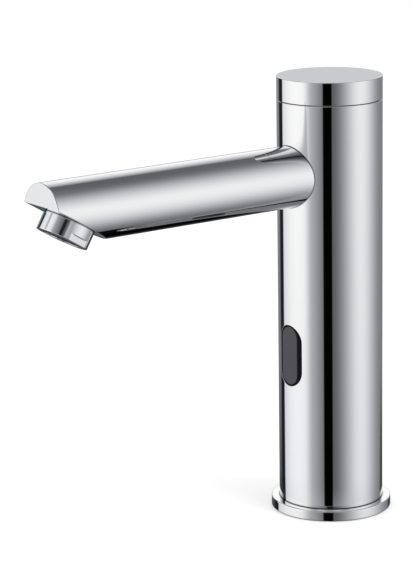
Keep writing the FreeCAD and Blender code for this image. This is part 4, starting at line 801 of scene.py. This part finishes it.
class TAP_OT_spout(bpy.types.Operator):
    """Level chrome spout: coped to the body, cut square above and slanted below, with the socket.

    At each angle round the axis the side runs from the body's surface to the end, whose distance is
    the reach above the lip and reach - (lip - height) / tan(slant) below it.
    """

    bl_idname = "tap.spout"
    bl_label = "Spout"

    def execute(self, context):
        size = context.scene.tap_spout
        body = context.scene.tap_body
        radius = size.radius
        end_round = 0.42 * MM
        joint_round = 0.2 * MM
        lower_columns = 121
        upper_columns = 81
        chord_columns = 25
        tolerance = 1e-9
        lip_angle = np.arcsin(size.lip / radius)
        lower = np.linspace(lip_angle, -np.pi - lip_angle, lower_columns)
        upper = np.linspace(np.pi - lip_angle, lip_angle, upper_columns)
        angle = np.concatenate([lower, upper[1:-1]])

        def end_at(up):
            """How far out the spout ends, at a height from its axis."""
            slanted = size.reach - (size.lip - up) / np.tan(size.slant)
            return np.where(up >= size.lip - tolerance, size.reach, slanted)

        def place(across, up, out):
            """Points across and up from the spout's axis, and out from the body's."""
            across, up, out = np.broadcast_arrays(across, up, out)
            return np.stack([across, -out, up + size.axis], -1)

        # the side, with its rows closer together towards both ends
        across = radius * np.cos(angle)
        up = radius * np.sin(angle)
        cope = body.body_radius + size.joint
        start = np.sqrt(cope**2 - across**2)
        end = end_at(up)
        shares = np.concatenate([[0.0, 0.004], np.linspace(0.03, 0.97, 24), [0.996, 1.0]])[:, None]
        side = (start + joint_round)[None] * (1 - shares) + (end - end_round)[None] * shares
        side_patch = place(across[None], up[None], side)
        # the rounded edge of the outer end, drawn in towards the lip's middle
        share = 1 - end_round / radius
        inner_up = size.lip + (up - size.lip) * share
        inner = place(across * share, inner_up, end_at(inner_up))
        rim = curved(side_patch[-1], place(across, up, end), inner, 7)
        # the end on the body, with the boss's hole
        cope_middle = 11.5 * MM
        ring_radius = np.array([radius - joint_round, radius - 2 * joint_round, cope_middle, size.boss])
        cope_across = ring_radius[:, None] * np.cos(angle)[None]
        cope_up = ring_radius[:, None] * np.sin(angle)[None]
        cope_patch = place(cope_across, cope_up, np.sqrt(cope**2 - cope_across**2))
        cope_rim = curved(side_patch[0], place(across, up, start), cope_patch[0], 5)
        boss_end = place(cope_across[-1], cope_up[-1], size.boss_deep)
        boss = between(cope_patch[-1], boss_end)
        boss_floor = between(boss_end, np.broadcast_to(place(0.0, 0.0, size.boss_deep), boss_end.shape))
        # the square face: from its outline to its middle
        first = lower_columns - 1
        arc = np.concatenate([inner[first:], inner[:1]])
        chord = place(np.linspace(arc[-1][0], arc[0][0], chord_columns)[1:-1], size.lip, size.reach)
        outline = np.concatenate([arc, chord])
        middle = place(0.0, (size.lip + radius) / 2, size.reach)
        square = between(outline, np.broadcast_to(middle, outline.shape), (0, 0.03, 0.5, 1))
        # the slanted face: from its outline to the socket's circle
        outline = np.concatenate([inner[: first + 1], chord[::-1]])
        centre = place(
            0.0,
            size.lip - size.outlet_set * np.sin(size.slant),
            size.reach - size.outlet_set * np.cos(size.slant),
        )
        ray = outline - centre
        circle = centre + ray / np.linalg.norm(ray, axis=1)[:, None] * size.socket
        slanted = between(outline, circle, (0, 0.04, 0.5, 0.95, 1))
        outward = np.array([0.0, -np.sin(size.slant), -np.cos(size.slant)])
        deep = circle - outward * size.socket_deep
        socket = between(circle, deep)
        socket_middle = centre - outward * size.socket_deep
        socket_floor = between(deep, np.broadcast_to(socket_middle, deep.shape))
        rings = (side_patch, rim, square, slanted, socket, socket_floor)
        rings += (cope_rim, cope_patch, boss, boss_floor)
        piece = surface("spout_chrome", rings, sharp=24.0)
        dressed(piece, "body", "mirror_chrome", "spout")
        return {"FINISHED"}


def on_outlet(size, local):
    """Points about the outlet's own axis carried to the slanted face.

    The outlet's Z is square to the slanted face and points outwards, and its X is the object's X.
    """
    lean = size.slant
    outward = np.array([0.0, -np.sin(lean), -np.cos(lean)])
    sideways = np.array([1.0, 0.0, 0.0])
    along = np.cross(outward, sideways)
    forward = size.reach - size.outlet_set * np.cos(lean)
    height = size.axis + size.lip - size.outlet_set * np.sin(lean)
    centre = np.array([0.0, -forward, height])
    return centre + local[..., :1] * sideways + local[..., 1:2] * along + local[..., 2:3] * outward


class TAP_OT_outlet_housing(bpy.types.Operator):
    """Outlet housing: threaded neck, skirt with two spanner flats and the mouth's lip.

    Below the flats' upper edge the radius is the least of the profile's and, at each angle a, the
    flat's distance / |cos(a - turn)|.
    """

    bl_idname = "tap.outlet_housing"
    bl_label = "Outlet housing"

    def execute(self, context):
        size = context.scene.tap_spout
        edge_round = 0.3 * MM
        mouth_round = 0.15 * MM
        tiny = 0.05 * MM
        step_in = 0.02 * MM
        flat_top = size.drop - size.flat_height
        grid_face = size.drop - size.mouth_lip
        angle = all_round(SIDES)
        flat = size.flat / np.maximum(np.abs(np.cos(angle - size.flat_turn)), 1e-6)
        flattened = np.minimum(size.skirt, flat)
        thread = (size.neck_radius, size.neck_thread, size.neck_pitch)
        neck = threaded(*thread, -size.neck, 0.0, rows=46, run_out=0.4 * MM)
        skirt = np.stack(
            [
                ring(size.neck_radius, angle, 0.0),
                ring(size.skirt - tiny, angle, 0.0),
                ring(size.skirt, angle, tiny),
                ring(size.skirt, angle, 3 * tiny),
                ring(size.skirt, angle, flat_top - 3 * tiny),
                ring(size.skirt, angle, flat_top - tiny),
                ring(np.minimum(size.skirt, flat + step_in), angle, flat_top),
                ring(flattened, angle, flat_top + tiny),
                ring(flattened, angle, flat_top + 3 * tiny),
                ring(flattened, angle, size.drop - edge_round - 2 * tiny),
                ring(flattened, angle, size.drop - edge_round),
            ]
        )
        end = ring(flattened - edge_round, angle, size.drop)
        edge = curved(skirt[-1], ring(flattened, angle, size.drop), end)
        lip = between(end, ring(size.mouth + mouth_round, angle, size.drop), (0, 0.1, 0.9, 1))
        mouth = ring(size.mouth, angle, size.drop)
        lip_edge = curved(lip[-1], mouth, ring(size.mouth, angle, size.drop - mouth_round))
        inside = np.stack(
            [
                lip_edge[-1],
                ring(size.mouth, angle, grid_face),
                ring(size.neck_bore, angle, grid_face),
                ring(size.neck_bore, angle, -size.neck),
                ring(size.neck_radius, angle, -size.neck),
            ]
        )
        rings = [on_outlet(size, grid) for grid in (neck, skirt, edge, lip, lip_edge, inside)]
        piece = surface("outlet_housing_chrome", rings)
        dressed(piece, "outlet_housing", "mirror_chrome", "aerator_housing")
        return {"FINISHED"}


# ---------------------------------------------------------------- sensor window


class TAP_OT_lens_bezel(bpy.types.Operator):
    """Black ring around the lens: front face on the body's cylinder, rounded edges, rear flange."""

    bl_idname = "tap.lens_bezel"
    bl_label = "Lens bezel"

    def execute(self, context):
        window = context.scene.tap_window
        radius = context.scene.tap_body.body_radius
        direction = all_round(WINDOW_COLUMNS)
        fine = 0.18 * MM
        outside = window.opening - window.bezel_gap
        inside = window.lens + window.lens_gap

        def outer(by):
            """The ring's outline, moved out by a length."""
            return obround(direction, outside + by, window.opening_straight)

        def inner(by):
            """The outline of the ring's hole, moved out by a length."""
            return obround(direction, inside + by, window.lens_straight)

        def sunk(flat, by):
            """An outline on the body's wall, moved back by a length."""
            points = on_wall(flat, radius, window.middle)
            points[..., 1] += by
            return points

        middle = window.middle
        flat_face = between(outer(-fine), inner(fine), (0, 0.06, 0.3, 0.5, 0.7, 0.94, 1))
        face = on_wall(flat_face, radius, middle)
        outer_edge = curved(sunk(outer(0), fine), sunk(outer(0), 0.0), face[0], 5)
        inner_edge = curved(face[-1], sunk(inner(0), 0.0), sunk(inner(0), fine), 5)
        rear = np.stack(
            [
                sunk(inner(0), fine),
                at_depth(inner(0), window.bezel_rear, middle),
                at_depth(outer(window.flange + window.bezel_gap), window.bezel_rear, middle),
                at_depth(outer(window.flange + window.bezel_gap), window.bezel_seat, middle),
                at_depth(outer(0), window.bezel_seat, middle),
                sunk(outer(0), fine),
            ]
        )
        piece = surface("lens_bezel_ring", (face, outer_edge, inner_edge, rear))
        dressed(piece, "body", "bezel_black", "lens_bezel")
        return {"FINISHED"}


class TAP_OT_sensor_lens(bpy.types.Operator):
    """Dark lens: a flat face with a rounded edge, and a flange behind the bezel."""

    bl_idname = "tap.sensor_lens"
    bl_label = "Sensor lens"

    def execute(self, context):
        window = context.scene.tap_window
        direction = all_round(WINDOW_COLUMNS)
        fine = 0.2 * MM
        middle = window.middle

        def outline(by):
            """The lens's outline, moved out by a length."""
            return obround(direction, window.lens + by, window.lens_straight)

        centre = np.zeros_like(outline(0))
        flat_face = between(outline(-fine), centre, (0, 0.03, 0.15, 0.4, 0.7, 1))
        face = at_depth(flat_face, window.lens_front, middle)
        below = at_depth(outline(0), window.lens_front - fine, middle)
        edge = curved(below, at_depth(outline(0), window.lens_front, middle), face[0], 5)
        rear = np.stack(
            [
                below,
                at_depth(outline(0), window.bezel_rear, middle),
                at_depth(outline(window.flange), window.bezel_rear, middle),
                at_depth(outline(window.flange), window.lens_rear, middle),
                at_depth(centre, window.lens_rear, middle),
            ]
        )
        piece = surface("sensor_lens_face", (face, edge, rear))
        dressed(piece, "body", "lens_grey", "sensor_lens")
        return {"FINISHED"}


class TAP_OT_springs(bpy.types.Operator):
    """Coil springs of the check valve and the plunger."""

    bl_idname = "tap.springs"
    bl_label = "Springs"

    def execute(self, context):
        size = context.scene.tap_springs
        springs = (
            ("check_valve_spring", "check_valve_lift", size.check_lift),
            ("plunger_spring", "plunger_lift", size.plunger_lift),
        )
        for node, joint, lift in springs:
            low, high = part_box(node)
            middle = (low + high) / 2
            radius = (high.x - low.x) / 2 - size.wire
            grid = coiled(radius, size.wire, low.z, high.z, size.turns)
            grid += np.array([middle.x, middle.y, 0.0])
            piece = surface(node + "_coil", [grid], sharp=80.0)
            dressed(piece, "body", "stainless", node)
            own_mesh(piece)
        return {"FINISHED"}


# ---------------------------------------------------------------- finishes and studio


class TAP_OT_finishes(bpy.types.Operator):
    """Makes the finishes and lays them on the nodes of the frame that stay."""

    bl_idname = "tap.finishes"
    bl_label = "Finishes"

    def execute(self, context):
        make_finishes()
        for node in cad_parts.values():
            for held in node.material_slots:
                if held.material is None:
                    raise RuntimeError(f"{node.name} has an empty material slot")
                held.material = finish_of(held.material.name.split(".")[0])
        return {"FINISHED"}


def studio_direction(around, up):
    """A direction in the studio: around is to the right of the camera's side, both in degrees."""
    around = np.radians(around)
    up = np.radians(up)
    camera_turn = np.radians(CAMERA_AROUND)
    to_camera = np.array([np.sin(camera_turn), -np.cos(camera_turn), 0.0])
    to_right = np.array([np.cos(camera_turn), np.sin(camera_turn), 0.0])
    level = np.cos(up) * (np.cos(around) * to_camera + np.sin(around) * to_right)
    return tuple(level + np.array([0.0, 0.0, np.sin(up)]))


class StudioWorld(Shader):
    """A world that is a studio of soft lights, worked out from the direction of a ray.

    Around is the ray's angle to the right of the camera's side, and up its angle above level. Both
    are given in degrees, and a level is how bright a form of the studio is, from 0 to 1.
    """

    def __init__(self, tree):
        super().__init__(tree)
        self.direction = self.add("TexCoord", {}).outputs["Generated"]
        forward = self.along(studio_direction(0.0, 0.0))
        sideways = self.along(studio_direction(90.0, 0.0))
        self.around = self.maths("ARCTAN2", sideways, forward)  # in radians
        self.height = self.along((0.0, 0.0, 1.0))  # the sine of up

    def maths(self, operation, *values):
        """One step of arithmetic on values or sockets."""
        return self.add("Math", dict(enumerate(values)), operation=operation).outputs[0]

    def times(self, first, *others):
        """The product of values or sockets."""
        for other in others:
            first = self.maths("MULTIPLY", first, other)
        return first

    def total(self, first, *others):
        """The sum of values or sockets."""
        for other in others:
            first = self.maths("ADD", first, other)
        return first

    def dimmed(self, light, where, by):
        """The light times 1 - by * where."""
        return self.times(light, self.maths("MULTIPLY_ADD", where, -by, 1.0))

    def vector_maths(self, operation, *vectors):
        """One step of arithmetic on directions."""
        return self.add("VectorMath", dict(enumerate(vectors)), operation=operation).outputs

    def along(self, vector, flatten=1.0):
        """How far the ray points along a direction, from -1 to 1.

        Flattening makes heights count less, so that a round light becomes a tall one.
        """
        ray = self.direction
        if flatten != 1.0:
            ray = self.vector_maths("MULTIPLY", ray, (1.0, 1.0, flatten))["Vector"]
            ray = self.vector_maths("NORMALIZE", ray)["Vector"]
            vector = np.array(vector) * (1.0, 1.0, flatten)
            vector = tuple(vector / np.linalg.norm(vector))
        return self.vector_maths("DOT_PRODUCT", ray, vector)["Value"]

    def soft_light(self, around, up, level, softness, edge=0.0, flatten=1.0):
        """A soft light: level * ((along - edge) / (1 - edge)) ** softness, never below 0."""
        along = self.along(studio_direction(around, up), flatten)
        share = self.maths("DIVIDE", self.maths("SUBTRACT", along, edge), 1.0 - edge)
        share = self.maths("MAXIMUM", share, 0.0)
        return self.times(self.maths("POWER", share, softness), level)

    def rise(self, value, low, high):
        """A smooth step from 0 at low to 1 at high."""
        inputs = {"Value": value, "From Min": low, "From Max": high}
        return self.add("MapRange", inputs, interpolation_type="SMOOTHSTEP").outputs["Result"]

    def right_of(self, low, high):
        """A smooth step to the right, from 0 at low to 1 at high."""
        return self.rise(self.around, np.radians(low), np.radians(high))

    def left_of(self, low, high):
        """A smooth step to the left, from 0 at high to 1 at low."""
        return self.maths("SUBTRACT", 1.0, self.right_of(low, high))

    def above(self, low, high):
        """A smooth step upwards, from 0 at low to 1 at high."""
        return self.rise(self.height, np.sin(np.radians(low)), np.sin(np.radians(high)))

    def below(self, low, high):
        """A smooth step downwards, from 0 at high to 1 at low."""
        return self.maths("SUBTRACT", 1.0, self.above(low, high))

    def right_side(self):
        """A tall panel, a round soft light beyond it, and the pale room low down."""
        panel = self.soft_light(65.5, 4.5, level=0.76, softness=4.0, flatten=0.74)
        beyond = self.soft_light(126.0, 6.0, level=0.158, softness=1.2)
        room = self.times(self.right_of(0.5, 4.0), self.below(5.7, 30.0), 0.056)
        return self.total(panel, beyond, room)

    def left_side(self):
        """A panel with a soft right edge in front of a broad light, cut off at the far left.

        Both are dimmer high up beyond the panel, and fade out low down.
        """
        broad = self.soft_light(-81.0, 0.0, level=0.63, softness=1.7)
        panel = self.times(self.left_of(-64.0, -42.0), self.above(-64.2, -5.7), 0.37)
        light = self.total(broad, panel)
        light = self.times(light, self.right_of(-128.5, -124.0), self.above(-53.1, -20.5))
        return self.dimmed(light, self.times(self.above(27.0, 33.0), self.left_of(-92.0, -80.0)), by=0.8)

    def rear(self):
        """A bright sweep, dimmer below its lower edge, and a grey wall to the left of it."""
        sweep = self.soft_light(181.0, 14.0, level=0.88, softness=1.0, edge=0.76)
        sweep = self.dimmed(sweep, self.below(9.6, 11.2), by=0.48)
        sweep = self.times(sweep, self.above(-19.0, 4.0))
        wall = self.times(self.left_of(-148.0, -141.0), self.below(-5.7, 5.7), self.above(-21.0, -14.0))
        return self.total(sweep, self.times(wall, 0.16))

    def stand(self):
        """Where the dark stand by the camera is: a tall stripe whose left edge leans to the right."""
        lean = self.times(self.above(0.0, 30.0), np.radians(6.0))
        left_edge = self.maths("SUBTRACT", self.around, lean)
        inside = self.rise(left_edge, np.radians(-19.5), np.radians(-16.0))
        return self.times(inside, self.left_of(0.2, 2.8))

    def over_stand(self):
        """The light above the stand, which the cap's top shows from behind."""
        upright = self.times(self.above(1.1, 5.7), self.below(16.3, 21.1))
        return self.times(upright, self.right_of(-40.0, -22.0), self.left_of(12.0, 30.0), 0.34)

    def ground(self, stand):
        """The ground and what lies straight below, for the tap seen from higher up."""
        floor = self.times(self.below(-30.0, -18.5), self.left_of(36.0, 50.0))
        floor = self.times(self.dimmed(floor, stand, by=1.0), 0.16)
        return self.maths("MAXIMUM", floor, self.times(self.below(-74.0, -62.0), 0.4))

    def lights(self):
        """All of the studio: its lights, what stands dark before them, and a little light all over."""
        lights = self.total(self.right_side(), self.left_side(), self.rear(), 0.013)
        dark_corner = self.times(self.right_of(133.0, 147.0), self.below(-17.8, -15.2))
        lights = self.dimmed(lights, dark_corner, by=0.7)
        table = self.along(studio_direction(160.0, -60.0))
        table = self.rise(table, np.cos(np.radians(24.5)), np.cos(np.radians(21.5)))
        lights = self.dimmed(lights, table, by=0.985)
        stand = self.stand()
        lights = self.dimmed(lights, stand, by=1.0)
        sky = self.times(self.above(5.7, 23.6), 0.014)
        ceiling = self.times(self.above(57.0, 72.0), 0.42)
        return self.total(lights, sky, self.over_stand(), ceiling, self.ground(stand), 0.001)

    def background(self, strength, colour=WHITE):
        """A background of a colour or a socket, and its strength."""
        return self.add("Background", {"Color": colour, "Strength": strength}).outputs[0]


class TAP_OT_studio(bpy.types.Operator):
    """Pale floor, white surroundings, and the soft lights that the mirror chrome shows."""

    bl_idname = "tap.studio"
    bl_label = "Studio"

    def execute(self, context):
        self.light_surroundings(context)
        self.lay_floor(context)
        self.set_lamps(context)
        return {"FINISHED"}

    def light_surroundings(self, context):
        """The camera sees white, mirrors see the studio, and the rest is lit by plain soft white."""
        extra_green = 0.028  # the middle tones are a little bluer than the bright and the dark ones
        extra_blue = 0.11
        soft = 0.85
        world = bpy.data.worlds.new("studio")
        context.scene.world = world
        world.use_nodes = True
        world.node_tree.nodes.clear()
        studio = StudioWorld(world.node_tree)
        lights = studio.lights()
        middle = studio.times(lights, studio.maths("SUBTRACT", 1.0, lights))
        green = studio.maths("MULTIPLY_ADD", middle, extra_green, lights)
        blue = studio.maths("MULTIPLY_ADD", middle, extra_blue, lights)
        shade = studio.add("CombineColor", {"Red": lights, "Green": green, "Blue": blue})
        ray = studio.add("LightPath", {}).outputs
        plain = studio.either(ray["Is Camera Ray"], studio.background(soft), studio.background(1.0))
        shown = studio.background(1.0, shade.outputs["Color"])
        studio.add("OutputWorld", {"Surface": studio.either(ray["Is Glossy Ray"], plain, shown)})

    def lay_floor(self, context):
        """A level floor just under the flange; mirrors see past it to the studio's lights."""
        half_width = 4.0
        under = 0.2 * MM
        across, along = np.meshgrid(*[np.linspace(-half_width, half_width, 5)] * 2)
        points = np.stack([across, along, np.full_like(across, -under)], -1).reshape(-1, 3)
        mesh = bpy.data.meshes.new("floor")
        mesh.from_pydata(points.tolist(), [], quads(*across.shape, 0, False).tolist())
        floor = bpy.data.objects.new("floor", mesh)
        context.scene.collection.objects.link(floor)
        finish = Finish("pale_floor")
        fine = finish.noise(finish.place, 300.0)
        paint = {
            "Base Color": (0.96, 0.96, 0.96, 1.0),
            "Roughness": finish.spread(fine, 0.75, 0.85),
            "Specular IOR Level": 0.0,
            "Emission Color": WHITE,
            "Emission Strength": 0.16,
        }
        finish.give(finish.principled, paint)
        ray = finish.add("LightPath", {}).outputs
        past = finish.add("BsdfTransparent", {}).outputs[0]
        seen = finish.either(ray["Is Glossy Ray"], finish.principled.outputs[0], past)
        finish.give(finish.nodes["Material Output"], {"Surface": seen})
        mesh.materials.append(finish.material)

    def set_lamps(self, context):
        """Two soft round lamps, at angles around and up in degrees, with their power in watts."""
        distance = 1.3
        aim = Vector((0.0, -0.04, 0.1))
        for name, around, up, power in (("key", 60.0, 40.0, 5.0), ("fill", -70.0, 30.0, 3.0)):
            lamp = bpy.data.lights.new(name, "AREA")
            lamp.shape = "DISK"
            lamp.size = 0.9
            lamp.energy = power
            away = Vector(studio_direction(around, up))
            turned = away.to_track_quat("Z", "Y").to_matrix().to_4x4()
            holder = bpy.data.objects.new(name, lamp)
            holder.matrix_world = Matrix.Translation(aim + away * distance) @ turned
            holder.visible_glossy = False
            holder.visible_camera = False
            context.scene.collection.objects.link(holder)


class TAP_OT_camera(bpy.types.Operator):
    """Camera at the photograph's place: a long lens from the right, a little above."""

    bl_idname = "tap.camera"
    bl_label = "Camera"

    def execute(self, context):
        around = np.radians(CAMERA_AROUND)
        up = np.radians(CAMERA_UP)
        roll = np.radians(CAMERA_ROLL)
        right = Vector((np.cos(around), np.sin(around), 0.0))
        back = Vector((np.sin(around) * np.cos(up), -np.cos(around) * np.cos(up), np.sin(up)))
        above = back.cross(right)
        target = Vector((0.0, 0.0, TARGET_HEIGHT)) + right * TARGET_RIGHT + above * TARGET_ABOVE
        turned_right = right * np.cos(roll) + above * np.sin(roll)
        turned_above = above * np.cos(roll) - right * np.sin(roll)
        lens = bpy.data.cameras.new("camera")
        lens.sensor_fit = "AUTO"
        lens.sensor_width = SENSOR
        lens.lens = FOCAL_PIXELS / PHOTO_HEIGHT * SENSOR
        lens.clip_start = 0.01
        lens.clip_end = 50.0
        camera = bpy.data.objects.new("camera", lens)
        turned = Matrix((turned_right, turned_above, back)).transposed().to_4x4()
        camera.matrix_world = Matrix.Translation(target + back * CAMERA_AWAY) @ turned
        context.scene.collection.objects.link(camera)
        context.scene.camera = camera
        context.scene.view_settings.view_transform = "Standard"
        return {"FINISHED"}


class TAP_PT_panel(bpy.types.Panel):
    """The tap's pieces, in the order in which they are made."""

    bl_label = "Sensor tap"
    bl_idname = "TAP_PT_panel"
    bl_space_type = "VIEW_3D"
    bl_region_type = "UI"
    bl_category = "Sensor tap"

    def draw(self, context):
        layout = self.layout
        for operator in STEPS:
            layout.operator(operator.bl_idname)
        for group in GROUPS:
            box = layout.box()
            values = getattr(context.scene, group)
            for name in values.__annotations__:
                box.prop(values, name)


STEPS = (
    TAP_OT_finishes,
    TAP_OT_base_flange,
    TAP_OT_body_tube,
    TAP_OT_top_cap,
    TAP_OT_cap_seal,
    TAP_OT_spout,
    TAP_OT_outlet_housing,
    TAP_OT_lens_bezel,
    TAP_OT_sensor_lens,
    TAP_OT_springs,
    TAP_OT_studio,
    TAP_OT_camera,
)
GROUPS = {
    "tap_body": TapBodySizes,
    "tap_spout": TapSpoutSizes,
    "tap_window": TapWindowSizes,
    "tap_springs": TapSpringSizes,
    "tap_colours": TapColours,
}
CLASSES = (*GROUPS.values(), *STEPS, TAP_PT_panel)


def register():
    """Makes the operators, the panel and the scene's groups of sizes and colours known."""
    for known in CLASSES:
        bpy.utils.register_class(known)
    for name, group in GROUPS.items():
        setattr(bpy.types.Scene, name, bpy.props.PointerProperty(type=group))


def unregister():
    """Takes away what register has made known."""
    for name in GROUPS:
        delattr(bpy.types.Scene, name)
    for known in reversed(CLASSES):
        bpy.utils.unregister_class(known)


def main():
    """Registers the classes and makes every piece."""
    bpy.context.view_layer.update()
    register()
    for operator in STEPS:
        group, name = operator.bl_idname.split(".")
        getattr(getattr(bpy.ops, group), name)()


if __name__ == "__main__":
    main()
